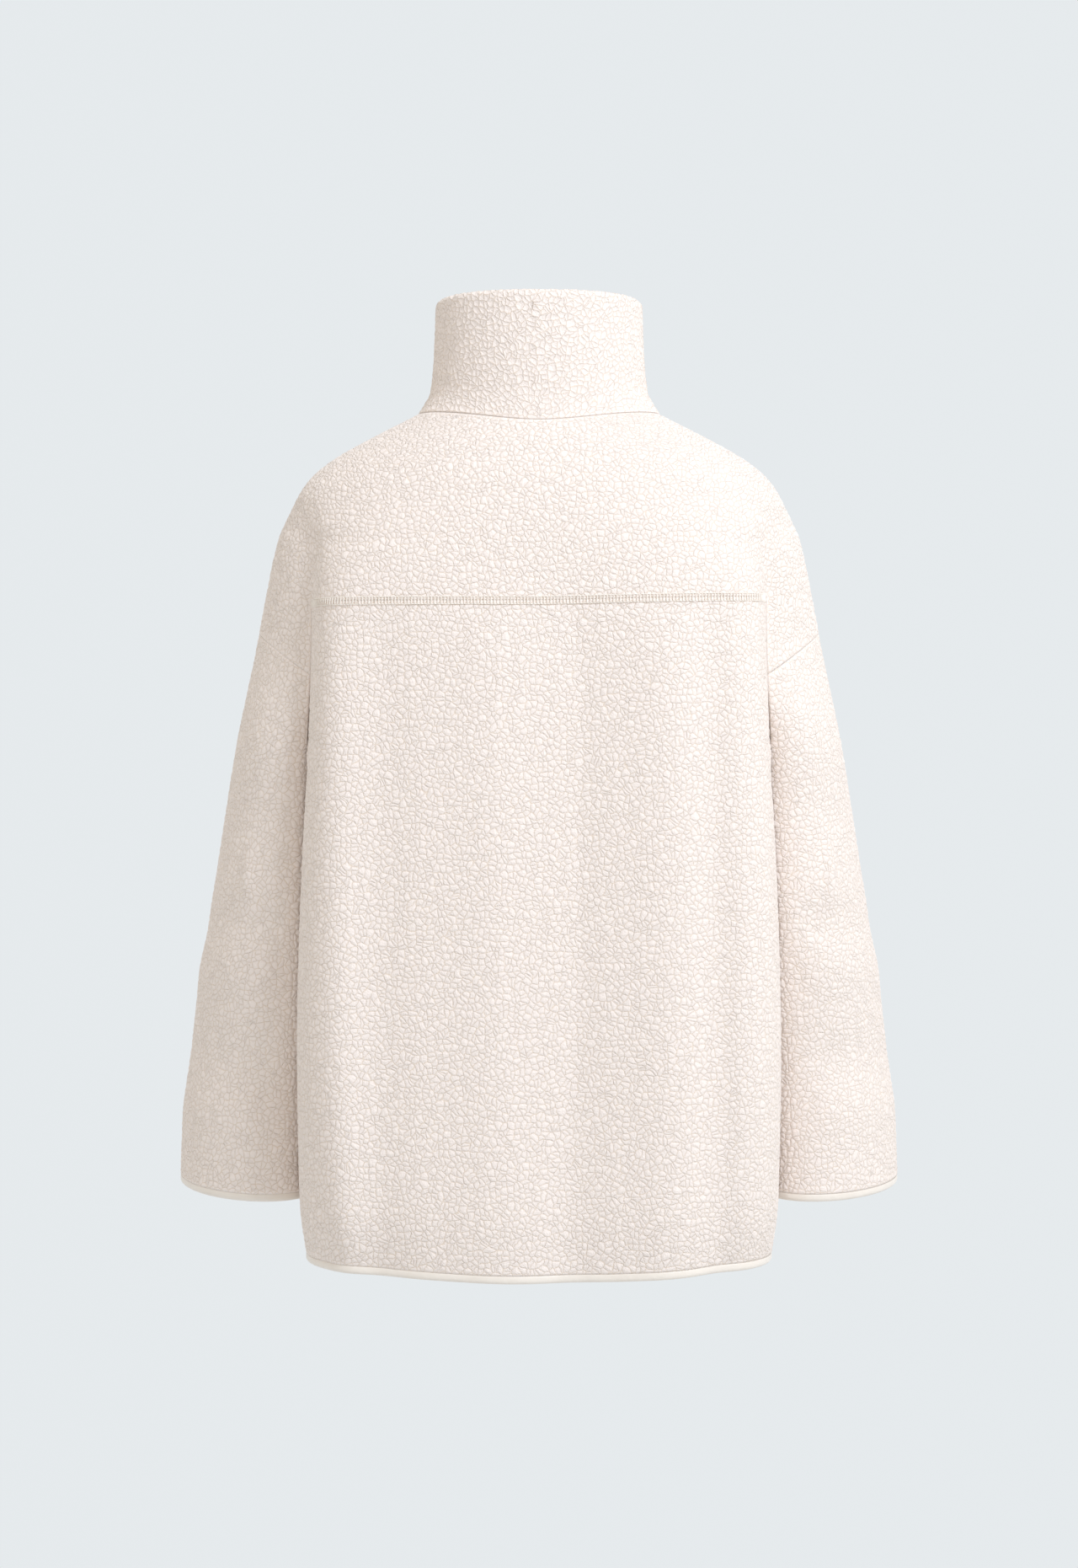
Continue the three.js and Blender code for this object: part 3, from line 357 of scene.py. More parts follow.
def rounded_join(before, after, reach):
    """Joins two lines that meet in a corner by a curve, and says how far along its middle is."""
    if reach < LEAST_ROUNDING:
        return np.vstack([before, after[1:]]), travelled(before)[-1]
    gone_before, gone_after = travelled(before), travelled(after)
    corner = before[-1]
    start = along(before, [gone_before[-1] - reach])[0]
    end = along(after, [reach])[0]
    t = np.linspace(0, 1, OUTLINE_POINTS["corner"])[:, None]
    curve = mix(mix(start, corner, t), mix(corner, end, t), t)
    head = before[gone_before < gone_before[-1] - reach]
    tail = after[gone_after > reach]
    middle = gone_before[-1] - reach + travelled(curve)[-1] / 2
    return np.vstack([head, curve, tail]), middle


def seam_marks(line, back, front, smoothness):
    """Where whole values of u lie on a line: by its creases or, where it is smooth, by set shares."""
    total = travelled(line)[-1]
    back, front = mix(np.array([back, front]), total * np.array(SMOOTH_MARKS), smoothness)
    return [0, back, mix(back, front, SHOULDER_SEAM_SHARE), front, total]


def outline_above(z, side):
    """The half outline above the armpit, and where the five whole values of u lie along it."""
    creases = crease_angle(z, side, 1), crease_angle(z, side, -1)
    smoothness = smooth((z - CREASED_FROM_Z) / (SMOOTH_FROM_Z - CREASED_FROM_Z))
    if None in creases:
        line = body_points(z, side, np.linspace(90, zip_angle(z), OUTLINE_POINTS["whole"]))
        return line, seam_marks(line, 0, 0, 1)
    ends = [arm_angle(z, body_points(z, side, np.array([c])))[0] for c in creases]
    count = OUTLINE_POINTS["stretch"]
    arm = arm_points(z, np.linspace(ends[0], ends[1], count))
    rounding = min(float(at(ROUNDING, 1, z)), MOST_ROUNDING * travelled(arm)[-1])
    back_part = body_points(z, side, np.linspace(90, creases[0], count))
    front_part = body_points(z, side, np.linspace(creases[1], zip_angle(z), count))
    line, back = rounded_join(back_part, arm, rounding)
    line, front = rounded_join(line, front_part, rounding)
    return line, seam_marks(line, back, front, smoothness)


def outline_below(z, side):
    """The half outline below the armpit, hollowed where the sleeve hangs."""
    line = body_points(z, side, np.linspace(90, zip_angle(z), OUTLINE_POINTS["below"]))
    gap = mix(TOUCH_GAP, HANG_GAP, smooth((ARMPIT_Z - z) / HANG_DROP))
    line[:, 0] = soft_min(line[:, 0], arm_inner_x(z, line[:, 1]) - gap, float(at(ROUNDING, 2, z)))
    gone = travelled(line)
    creases = np.array([crease_angle(ARMPIT_Z, side, way) for way in (1, -1)])
    back, front = body_points(ARMPIT_Z, side, creases)[:, 1]
    marks = [np.interp(-level, -line[:, 1], gone) for level in (back, SIDE_SEAM_Y, front)]
    return line, [0, *marks, gone[-1]]


class Sections:
    """Level sections of one half of the body, sampled evenly in each quarter of u."""

    SAMPLES = 96

    def __init__(self, outline, side, low, high, step):
        self.levels = np.linspace(low, high, int(np.ceil((high - low) / step)) + 1)
        even = np.linspace(0, 1, self.SAMPLES + 1)[:-1]
        rows = []
        for z in self.levels:
            line, marks = outline(z, side)
            quarters = [mix(marks[k], marks[k + 1], even) for k in range(4)]
            spots = np.concatenate([*quarters, [marks[4]]])
            rows.append(np.column_stack([along(line, spots) * [side, 1], spots]))
        self.rows = self.calmed(np.array(rows))

    def calmed(self, rows):
        """Takes the sharp line out of the surface where the arms begin to show."""
        reach = round(CALM["reach"] / (self.levels[1] - self.levels[0]))
        padded = np.concatenate([rows[:1]] * reach + [rows] + [rows[-1:]] * reach)
        mean = sum(padded[k : k + len(rows)] for k in range(2 * reach + 1)) / (2 * reach + 1)
        share = np.exp(-(((self.levels - CALM["z"]) / CALM["wide"]) ** 2))
        return mix(rows, mean, share[:, None, None])

    def sample(self, u, z):
        """x, y and the distance from the middle of the back, for arrays of u and z of one shape."""
        row = (z - self.levels[0]) / (self.levels[1] - self.levels[0])
        row = np.clip(row, 0, len(self.levels) - 1.000001)
        column = np.clip(u * self.SAMPLES, 0, 4 * self.SAMPLES - 0.000001)
        r, c = row.astype(int), column.astype(int)
        a, b = (row - r)[..., None], (column - c)[..., None]
        p = self.rows
        return mix(mix(p[r, c], p[r, c + 1], b), mix(p[r + 1, c], p[r + 1, c + 1], b), a)

    def __call__(self, u, z):
        return np.concatenate([self.sample(u, z)[..., :2], z[..., None]], axis=-1)

    def from_back(self, u, z):
        return self.sample(u, z)[..., 2]


# ---- heights of the seams over u
def hem_z(u):
    return HEM_Z + HEM_RISE * smooth(np.minimum(u, 4 - u))


def yoke_z(u, side):
    near_crease = np.clip(np.minimum(u, 2 - u), 0, 1) * (side < 0)
    return YOKE_Z + YOKE_RISE * near_crease


def armhole_z(u):
    from_top = np.clip(np.abs(u - 2), 0, 1)
    down = ARMHOLE_POINT * from_top + (1 - ARMHOLE_POINT) * from_top**2
    return mix(ARMHOLE_TOP_Z, ARMHOLE_CREASE_Z, down)


def neck_z(above, u):
    """Where the shoulders meet an upright tube with an oval section."""
    outside, inside = np.full(u.shape, NECK_SEARCH["lowest"]), np.full(u.shape, BODY[0, 0])
    for _ in range(NECK_SEARCH["halvings"]):
        z = (outside + inside) / 2
        p = above(u, z)
        reach = np.where(p[..., 1] > 0, NECK["back"], NECK["front"])
        beyond = np.hypot(p[..., 0] / NECK["wide"], p[..., 1] / reach) > 1
        outside, inside = np.where(beyond, z, outside), np.where(beyond, inside, z)
    return inside


def collar_top_z(y):
    back = mix(COLLAR_TOP["side"], COLLAR_TOP["back"], y / NECK["back"])
    front = mix(COLLAR_TOP["side"], COLLAR_TOP["front"], smooth(-y / NECK["front"]))
    return np.where(y > 0, back, front)


# ---- grids of places
class Grid:
    """Places on a piece, row by row upwards, and on flat cloth. Those of one name are one point."""

    def __init__(self, side, places, names, lay):
        self.side, self.places, self.names, self.lay = side, places, names, lay


def name_of(side, u, z):
    """Whole numbers, the same for places which are one point."""
    half = np.where(np.asarray(u) < 1e-6, 0, side) + 1
    across = np.round(u * 1e5).astype(np.int64)
    up = np.round((z + 1000) * 1e3).astype(np.int64)
    return (half * 1_000_000 + across) * 10_000_000 + up


def columns_of(counts, first, last):
    """Values of u from one whole value to another, for counts of columns in the quarters."""
    parts = [np.linspace(k, k + 1, counts[k] + 1)[:-1] for k in range(first, last)]
    return np.concatenate([*parts, [last]])


def whole_patches(length):
    return max(1, round(length / GRID / COARSE)) * COARSE


COLUMNS = [whole_patches(size) for size in COLUMN_LENGTHS]
INNER_ARM_COLUMNS = whole_patches(INNER_ARM_LENGTH)
ROWS = {name: whole_patches(size) for name, size in ROW_LENGTHS.items()}


def steps_up(places):
    """The length of cloth below each place of a grid, along its column."""
    steps = np.linalg.norm(np.diff(places, axis=0), axis=-1)
    return np.vstack([np.zeros(places.shape[1]), np.cumsum(steps, axis=0)])


def body_grid(half, us, low, high, rows):
    """A grid over u from height low to high, its rows spaced evenly along each column."""
    sections = half.below if np.max(high) <= ARMPIT_Z else half.above
    t = np.linspace(0, 1, 4 * rows + 1)[:, None]
    z = mix(low + 0 * us, high + 0 * us, t)
    gone = steps_up(sections(us + 0 * t, z))
    wanted = np.linspace(0, 1, rows + 1)
    z = np.column_stack([np.interp(wanted * up[-1], up, levels) for up, levels in zip(gone.T, z.T)])
    u = us + 0 * z
    places = sections(u, z)
    across = sections.from_back(u, z)
    if us[-1] > 2:
        across -= sections.from_back(0 * u + 4, z)
    up = z - YOKE_Z
    if np.min(low) > ARMHOLE_TOP_Z:
        up = steps_up(places)
    return Grid(half.side, places, name_of(half.side, u, z), np.stack([across * half.side, up], axis=-1))


def skirt_grid(half, first, last):
    """The body's cloth from the hem to the armpit, ending on the upper sections' first row."""
    us = columns_of(COLUMNS, first, last)
    grid = body_grid(half, us, hem_z(us), ARMPIT_Z, ROWS["skirt"])
    beside_belt = (us <= 1) | (us >= 3)
    top = half.above(us, np.full(us.shape, ARMPIT_Z))
    easing = smooth((grid.places[..., 2] - ARMPIT_Z + SKIRT_EASE) / SKIRT_EASE) * beside_belt
    grid.places = grid.places + easing[..., None] * (top - grid.places[-1])
    grid.names[-1, ~beside_belt] += 1  # here the sleeve starts, which is another piece
    return grid


def belt_grid(half, first, last):
    us = columns_of(COLUMNS, first, last)
    return body_grid(half, us, ARMPIT_Z, yoke_z(us, half.side), ROWS["belt"])


def shoulder_grids(half, first, last):
    """The belt from the yoke's height to the neck, and the cap of the shoulder beside the arm."""
    us = columns_of(COLUMNS, first, last)
    upper = body_grid(half, us, yoke_z(us, half.side), neck_z(half.above, us), ROWS["shoulder"])
    caps = us[(us >= 1) & (us <= 3)]
    return [upper, body_grid(half, caps, armhole_z(caps), yoke_z(caps, half.side), ROWS["blade"])]


def cuff_z(angles):
    """The height of the cuff's edge at angles round the arm."""
    back = arm_points(np.full(angles.shape, CUFF_Z), angles)[:, 1] - at(ARM, 4, CUFF_Z)
    return CUFF_Z + CUFF_SLOPE * back


def sleeve_grids(half):
    """The sleeve's cap above the armpit and its tube, with the seam on the inside of the arm."""
    us = columns_of(COLUMNS, 1, 3)
    cap = body_grid(half, us, ARMPIT_Z, armhole_z(us), ROWS["cap"])
    levels = cap.places[..., 2]
    start = half.above.from_back(0 * levels + 1, levels)
    cap.lay[..., 0] = half.side * (half.above.from_back(us + 0 * levels, levels) - start)
    outer = arm_angle(ARMPIT_Z, cap.places[0] * [half.side, 1, 1])
    behind = np.linspace(180, outer[0], INNER_ARM_COLUMNS + 1)[:-1]
    before = np.linspace(outer[-1], -180, INNER_ARM_COLUMNS + 1)[1:]
    angles = np.concatenate([behind, outer, before])
    z = mix(cuff_z(angles), ARMPIT_Z, np.linspace(0, 1, ROWS["sleeve"] + 1)[:, None])
    places = np.concatenate([arm_points(z, angles + 0 * z) * [half.side, 1], z[..., None]], axis=-1)
    under_cap = slice(len(behind), len(behind) + len(us))
    places[-1, under_cap] = cap.places[0]
    names = np.arange(places.shape[0] * places.shape[1]).reshape(places.shape[:2])
    names[-1, under_cap] = cap.names[0]
    across = steps_up(places.transpose(1, 0, 2)).T
    across -= across[:, [len(behind)]]
    lay = np.stack([across * half.side, z - YOKE_Z], axis=-1)
    return [cap, Grid(half.side, places, names, lay)]


# ---- meshes
def new_object(name, points, faces, material_of_faces=None):
    mesh = bpy.data.meshes.new(name)
    mesh.from_pydata(np.asarray(points) * MM, [], faces)
    mesh.shade_smooth()
    if material_of_faces is not None:
        mesh.polygons.foreach_set("material_index", material_of_faces)
    piece = bpy.data.objects.new(name, mesh)
    bpy.context.scene.collection.objects.link(piece)
    return piece


def set_values(mesh, name, values, kind="FLOAT"):
    attribute = mesh.attributes.new(name, kind, "POINT")
    attribute.data.foreach_set("vector" if kind == "FLOAT_VECTOR" else "value", np.ravel(values))


def set_lay(piece, lay):
    """Keeps where each point lies on the flat cloth, shifted so that no two pieces are alike."""
    shift = LAY_SHIFT * (1 + len(bpy.data.meshes) % LAY_SHIFTS)
    flat = np.column_stack([lay + shift, np.zeros(len(lay))])
    set_values(piece.data, "lay", flat * MM, "FLOAT_VECTOR")


def vertex_normals(points, quads):
    a, b, c, d = points[quads.T]
    face = np.cross(c - a, d - b)
    normals = np.zeros_like(points)
    for corners in quads.T:
        np.add.at(normals, corners, face)
    return unit(normals)


def open_runs(grids, every):
    """Runs of points along the edges that only one patch of every points each way has."""
    runs = {}
    for ids in grids:
        rows, columns = ids.shape
        for r in range(0, rows - 1, every):
            for c in range(0, columns - 1, every):
                patch = ids[r : r + every + 1, c : c + every + 1]
                for run in (patch[0], patch[:, -1], patch[-1, ::-1], patch[::-1, 0]):
                    runs[(run[0], run[-1])] = run
    return [run for (a, b), run in runs.items() if (b, a) not in runs]


def distance_to(points, lines, limit):
    """How far each point lies from the nearest of the line's points, up to a limit."""
    tree = kdtree.KDTree(len(lines))
    for i, p in enumerate(lines):
        tree.insert(p, i)
    tree.balance()
    return np.array([min(limit, tree.find(p)[2]) for p in points])


def joined(parts):
    """The points of grids, each once: places, the same on the flat cloth, and grids of numbers."""
    names = np.concatenate([part.names.ravel() for part in parts])
    _, first, ids = np.unique(names, return_index=True, return_inverse=True)
    places = np.vstack([part.places.reshape(-1, 3) for part in parts])[first]
    lay = np.vstack([part.lay.reshape(-1, 2) for part in parts])[first]
    grids = []
    start = 0
    for part in parts:
        grid = ids[start : start + part.names.size].reshape(part.names.shape)
        # Columns run from the back to the front, which is clockwise from outside on the left.
        grids.append(grid[:, ::-1] if part.side > 0 else grid)
        start += part.names.size
    return places, lay, grids


def quads_of(grids, step):
    """Faces between each step-th row and column of grids."""
    return np.vstack([
        np.stack([g[:-1, :-1], g[:-1, 1:], g[1:, 1:], g[1:, :-1]], axis=-1).reshape(-1, 4)
        for g in (grid[::step, ::step] for grid in grids)
    ])


def rims_of(runs, inner_id):
    """Faces that close the edge between the fine outer face and the coarse inner one."""
    rims = []
    half = COARSE // 2
    for run in runs:
        a, b = inner_id[run[0]], inner_id[run[-1]]
        rims += [(run[i + 1], run[i], a if i < half else b) for i in range(COARSE)]
        rims.append((run[half], a, b))
    return rims


def turned_in(off):
    """How far the cloth's outer face has sunk at distances from its edge."""
    return EDGE_ROLL - np.sqrt(np.maximum(0, EDGE_ROLL**2 - np.maximum(0, EDGE_ROLL - off) ** 2))


def pile_share(off):
    """How much of the pile stands at distances from the cloth's edge."""
    return smooth(off / PINCH) * (1 - SEAM_PILE) + SEAM_PILE * (off > 0)


def cloth_piece(name, parts, wall):
    """A cut piece of shearling from its grids. Its outer face turns outwards."""
    outer, lay, grids = joined(parts)
    fine, coarse = quads_of(grids, 1), quads_of(grids, COARSE)
    normals = vertex_normals(outer, fine)
    corners, local = np.unique(coarse, return_inverse=True)
    inner = outer[corners] - wall * normals[corners]
    inner_id = dict(zip(corners, len(outer) + np.arange(len(corners))))
    lining = (len(outer) + local.reshape(-1, 4))[:, ::-1]
    runs = open_runs(grids, COARSE)
    rims = rims_of(runs, inner_id)
    edge = np.unique(np.concatenate(runs))
    off = distance_to(outer, outer[edge], PINCH)

    points = np.vstack([outer - turned_in(off)[:, None] * normals, inner])
    faces = fine.tolist() + lining.tolist() + rims
    kinds = [0] * len(fine) + [1] * len(lining) + [0] * len(rims)
    piece = new_object(name, points, faces, kinds)
    set_values(piece.data, "pile", np.concatenate([pile_share(off), np.zeros(len(inner))]))
    set_lay(piece, np.vstack([lay, lay[corners]]))
    return piece


# ---- nodes
def new_node(tree, kind, inputs=None, **settings):
    """A node with its settings; inputs map a socket's name or number to a value or a socket."""
    made = tree.nodes.new(kind)
    for key, value in settings.items():
        setattr(made, key, value)
    for key, value in (inputs or {}).items():
        if isinstance(value, bpy.types.NodeSocket):
            tree.links.new(value, made.inputs[key])
        else:
            made.inputs[key].default_value = value
    return made


def arithmetic(tree, operation, *values, clamp=False):
    inputs = dict(enumerate(values))
    return new_node(tree, "ShaderNodeMath", inputs, operation=operation, use_clamp=clamp).outputs[0]


def times(tree, one, other):
    return arithmetic(tree, "MULTIPLY", one, other)


def vectors(tree, operation, inputs):
    return new_node(tree, "ShaderNodeVectorMath", inputs, operation=operation).outputs[0]


def noise(tree, place, scale, detail, output="Fac", **more):
    inputs = {"Vector": place, "Scale": scale, "Detail": detail, **more}
    return new_node(tree, "ShaderNodeTexNoise", inputs).outputs[output]


def warped(tree, place, size, reach):
    """A place moved about by smooth noise, so that cells laid over it are uneven."""
    drift = noise(tree, place, 1 / (size * MM), 1.0, "Color")
    centred = vectors(tree, "SUBTRACT", {0: drift, 1: (0.5, 0.5, 0.5)})
    scaled = vectors(tree, "SCALE", {0: centred, "Scale": reach * MM})
    return vectors(tree, "ADD", {0: place, 1: scaled})


def cell_edges(tree, place, size):
    """The distance from the gap round the nearest cell, as a share of the cells' size."""
    inputs = {"Vector": place, "Scale": 1 / (size * MM)}
    kind = {"voronoi_dimensions": "2D", "feature": "DISTANCE_TO_EDGE"}
    return new_node(tree, "ShaderNodeTexVoronoi", inputs, **kind).outputs["Distance"]


def dome(tree, distance, wide):
    """A rounded rise from 0 at the gap to 1 where the distance is wide."""
    t = arithmetic(tree, "DIVIDE", distance, wide, clamp=True)
    return times(tree, t, arithmetic(tree, "SUBTRACT", 2.0, t))


def curls(tree, lay):
    """The pile's height on the flat cloth, and the distance from the gaps between its curls."""
    loose = warped(tree, lay, CURL_DRIFT["size"], CURL_DRIFT["reach"])
    distance = cell_edges(tree, loose, CURL)
    large = dome(tree, distance, CURL_SHOULDERS["large"])
    small = dome(tree, cell_edges(tree, loose, CURL * SMALL_CURL), CURL_SHOULDERS["small"])
    shares = times(tree, large, CURL_SHARES["large"]), times(tree, small, CURL_SHARES["small"])
    return arithmetic(tree, "ADD", *shares), distance


# ---- materials
def new_material(name, settings):
    """A material with its settings on the surface's own inputs."""
    material = bpy.data.materials.new(name)
    material.use_nodes = True
    for socket, value in settings.items():
        material.node_tree.nodes["Principled BSDF"].inputs[socket].default_value = value
    return material, material.node_tree


def on_object(tree):
    return new_node(tree, "ShaderNodeTexCoord").outputs["Object"]


def on_cloth(tree):
    return new_node(tree, "ShaderNodeAttribute", attribute_name="lay").outputs["Vector"]


def mixed_colour(tree, share, low, high):
    inputs = {"Factor": share, "A": (*low, 1), "B": (*high, 1)}
    return new_node(tree, "ShaderNodeMix", inputs, data_type="RGBA").outputs["Result"]


def finish(material, surface, share, height=None, reach=0):
    """Paints a material between its two colours and raises it by a height times the reach."""
    tree = material.node_tree
    shader = tree.nodes["Principled BSDF"]
    tree.links.new(mixed_colour(tree, share, *COLOURS[surface]), shader.inputs["Base Color"])
    if reach:
        bump = new_node(tree, "ShaderNodeBump", {"Height": height, "Distance": reach * MM})
        tree.links.new(bump.outputs["Normal"], shader.inputs["Normal"])
    return material


def fleece():
    sheen = {"Sheen Weight": 0.35, "Sheen Roughness": 0.5, "Sheen Tint": (1.0, 0.96, 0.9, 1)}
    material, tree = new_material("fleece", {"Roughness": 0.95, "Specular IOR Level": 0.15, **sheen})
    lay = on_cloth(tree)
    pile = new_node(tree, "ShaderNodeAttribute", attribute_name="pile").outputs["Fac"]
    height, distance = curls(tree, lay)
    strands = noise(tree, lay, 900.0, 3.0, Distortion=1.5)
    fuzzy = arithmetic(tree, "ADD", height, times(tree, strands, 0.2))
    raised = times(tree, fuzzy, pile)
    # Painted shade: the fleece takes its darker colour in the narrow gaps between the curls, where shade
    # falls.
    reach = {"Value": distance, "From Max": GAP_SHADE_WIDTH}
    gap = new_node(tree, "ShaderNodeMapRange", reach, interpolation_type="SMOOTHSTEP").outputs["Result"]
    return finish(material, "fleece", gap, raised, 0.82)


def knit_lining():
    material, tree = new_material("knit_lining", {"Roughness": 0.85})
    lay = on_cloth(tree)
    wave = {"Vector": lay, "Scale": 160.0, "Distortion": 0.6, "Detail": 1.0}
    ribs = new_node(tree, "ShaderNodeTexWave", wave).outputs["Fac"]
    return finish(material, "lining", noise(tree, lay, 60.0, 3.0), ribs, 0.4)


def satin():
    material, tree = new_material("satin_binding", {"Roughness": 0.42, "Sheen Weight": 0.3})
    place = on_object(tree)
    puckers = noise(tree, place, 90.0, 2.0)
    weave = times(tree, noise(tree, place, 1500.0, 1.0), 0.12)
    return finish(material, "satin", puckers, arithmetic(tree, "ADD", puckers, weave), 0.8)


def thread():
    material, tree = new_material("cream_thread", {"Roughness": 0.6})
    twist = noise(tree, on_object(tree), 2500.0, 1.0)
    return finish(material, "thread", twist, twist, 0.15)


def woven_tape():
    material, tree = new_material("woven_tape", {"Roughness": 0.8})
    wave = {"Vector": on_object(tree), "Scale": 420.0}
    twill = new_node(tree, "ShaderNodeTexWave", wave, bands_direction="DIAGONAL").outputs["Fac"]
    return finish(material, "tape", twill, twill, 0.15)


def moulded_plastic():
    material, tree = new_material("moulded_zip", {"Roughness": 0.35})
    cloudy = noise(tree, on_object(tree), 400.0, 2.0)
    return finish(material, "moulded", cloudy, cloudy, 0.05)


def brushed_metal():
    material, tree = new_material("zip_metal", {"Metallic": 1.0})
    scuffs = noise(tree, on_object(tree), 700.0, 4.0)
    rough = new_node(tree, "ShaderNodeMapRange", {"Value": scuffs, "To Min": 0.22, "To Max": 0.42})
    tree.links.new(rough.outputs["Result"], tree.nodes["Principled BSDF"].inputs["Roughness"])
    return finish(material, "metal", scuffs, scuffs, 0.04)


def floor_paint():
    material, tree = new_material("floor_paint", {"Roughness": 0.9})
    return finish(material, "floor", noise(tree, on_object(tree), 30.0, 2.0))


# ---- pile
def raise_pile(piece):
    """Presses the gaps between the curls into the cloth's outer face."""
    tree = bpy.data.node_groups.new("raise_pile", "GeometryNodeTree")
    for way in ("INPUT", "OUTPUT"):
        tree.interface.new_socket("Geometry", in_out=way, socket_type="NodeSocketGeometry")
    source = tree.nodes.new("NodeGroupInput")
    result = tree.nodes.new("NodeGroupOutput")
    lay, pile = (
        new_node(tree, "GeometryNodeInputNamedAttribute", {"Name": name}, data_type=kind).outputs[0]
        for name, kind in (("lay", "FLOAT_VECTOR"), ("pile", "FLOAT"))
    )
    height, _ = curls(tree, lay)
    sunk = arithmetic(tree, "SUBTRACT", height, PILE_LEVEL)
    reach = times(tree, times(tree, sunk, pile), PILE_DEPTH * MM)
    normal = new_node(tree, "GeometryNodeInputNormal").outputs[0]
    offset = vectors(tree, "SCALE", {0: normal, "Scale": reach})
    moved = new_node(tree, "GeometryNodeSetPosition", {"Geometry": source.outputs[0], "Offset": offset})
    tree.links.new(moved.outputs[0], result.inputs[0])
    piece.modifiers.new("raise_pile", "NODES").node_group = tree
    graph = bpy.context.evaluated_depsgraph_get()
    shaped = piece.evaluated_get(graph)
    raised = bpy.data.meshes.new_from_object(shaped, preserve_all_data_layers=True, depsgraph=graph)
    piece.modifiers.clear()
    bpy.data.node_groups.remove(tree)
    flat = piece.data
    piece.data = raised
    bpy.data.meshes.remove(flat)
    raised.name = piece.name


# ---- sweeps
def tube_faces(first, rings, sides, closed=False):
    """Faces round a tube whose points start at a number and follow ring by ring."""
    faces = []
    for k in range(rings if closed else rings - 1):
        a, b = first + k * sides, first + (k + 1) % rings * sides
        faces += [(a + i, a + (i + 1) % sides, b + (i + 1) % sides, b + i) for i in range(sides)]
    if not closed:
        last = first + (rings - 1) * sides
        faces += [tuple(range(first, first + sides))[::-1], tuple(range(last, last + sides))]
    return faces


def sweep(name, rings, closed=False):
    """A mesh round which a section is carried. rings is stations by points by 3."""
    return new_object(name, rings.reshape(-1, 3), tube_faces(0, *rings.shape[:2], closed))


def many_tubes(name, tubes):
    """A mesh of closed tubes with the same counts of rings and sides."""
    rings, sides = tubes[0].shape[:2]
    faces = []
    for k in range(len(tubes)):
        faces += tube_faces(k * rings * sides, rings, sides)
    return new_object(name, np.vstack(tubes).reshape(-1, 3), faces)


def square_to(tangents):
    """Level directions of length 1 square to others."""
    return unit(np.stack([tangents[..., 1], -tangents[..., 0], 0 * tangents[..., 0]], axis=-1))


def level_normals(line, closed):
    """Level directions square to a line of places, away from its middle."""
    around = np.roll(line, -1, axis=0) - np.roll(line, 1, axis=0)
    normal = square_to(around if closed else np.gradient(line, axis=0))
    return normal * np.sign(np.sum(normal * (line - line.mean(axis=0))))


# ---- stage
def key_light(place, size, power, colour):
    """A square lamp that faces the jacket."""
    data = bpy.data.lights.new("key", "AREA")
    data.size, data.energy, data.color = size, power, colour
    lamp = bpy.data.objects.new("key", data)
    lamp.location = place
    lamp.rotation_euler = (Vector(CENTRE) - Vector(place)).to_track_quat("-Z", "Y").to_euler()
    bpy.context.scene.collection.objects.link(lamp)


def soft_room():
    """A pale room, brighter on the wearer's right, with less light from behind the wearer."""
    world = bpy.data.worlds.new("soft_room")
    world.use_nodes = True
    tree = world.node_tree
    direction = new_node(tree, "ShaderNodeTexCoord").outputs["Generated"]
    parts = new_node(tree, "ShaderNodeSeparateXYZ", {0: direction}).outputs
    aside = times(tree, parts["X"], arithmetic(tree, "ABSOLUTE", parts["X"]))
    behind = arithmetic(tree, "MAXIMUM", parts["Y"], 0.0)
    brightness = 1.0
    for side, share in ((aside, ROOM_ASIDE), (behind, ROOM_BEHIND)):
        brightness = arithmetic(tree, "SUBTRACT", brightness, times(tree, side, share))
    far = new_node(tree, "ShaderNodeMapRange", {"Value": parts["Y"], **ROOM_TURN}).outputs["Result"]
    background = tree.nodes["Background"]
    tree.links.new(mixed_colour(tree, far, ROOM_WARM, ROOM_COLOUR), background.inputs["Color"])
    tree.links.new(brightness, background.inputs["Strength"])
    return world


def stage():
    scene = bpy.context.scene
    scene.view_settings.view_transform = "Standard"
    scene.world = soft_room()

    turns = round_turn(FLOOR["sides"])
    rim = FLOOR["radius"] * np.column_stack([np.cos(turns), np.sin(turns), 0 * turns])
    floor = new_object("floor", rim + [0, 0, FLOOR["z"]], [range(FLOOR["sides"])])
    floor.data.materials.append(floor_paint())

    key_light(**KEY)

    camera = bpy.data.objects.new("camera", bpy.data.cameras.new("camera"))
    camera.data.lens, camera.data.sensor_width = CAMERA["lens"], CAMERA["sensor"]
    camera.location = CAMERA["place"]
    camera.rotation_euler = (np.pi / 2, 0, np.pi)
    scene.collection.objects.link(camera)
    scene.camera = camera


# ---- the jacket
class Half:
    """The sections of one half of the body, above and below the armpit."""

    def __init__(self, side, word):
        self.side = side
        self.word = word
        self.above = Sections(outline_above, side, ARMPIT_Z, BODY[0, 0], LEVEL_STEP["above"])
        self.below = Sections(outline_below, side, HEM_Z, ARMPIT_Z, LEVEL_STEP["below"])


def dress(piece, node, slot, *materials):
    """Gives a piece its materials, hangs it on the jacket and hides the solid that it replaces, if any.
    """
    for material in materials:
        piece.data.materials.append(material)
    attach(piece, "jacket")
    if node:
        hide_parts(node)
    return piece


def shearling_parts(halves):
    """The grids of each flat-cut piece except the collar."""
    parts = {"back": [], "yoke": []}
    for half in halves:
        parts["back"] += [skirt_grid(half, 0, 2), belt_grid(half, 0, 1)]
        parts["yoke"] += shoulder_grids(half, 0, 2)
        lower = [skirt_grid(half, 2, 4), belt_grid(half, 3, 4)]
        parts["front_" + half.word] = lower + shoulder_grids(half, 2, 4)
        parts["sleeve_" + half.word] = sleeve_grids(half)
    return parts


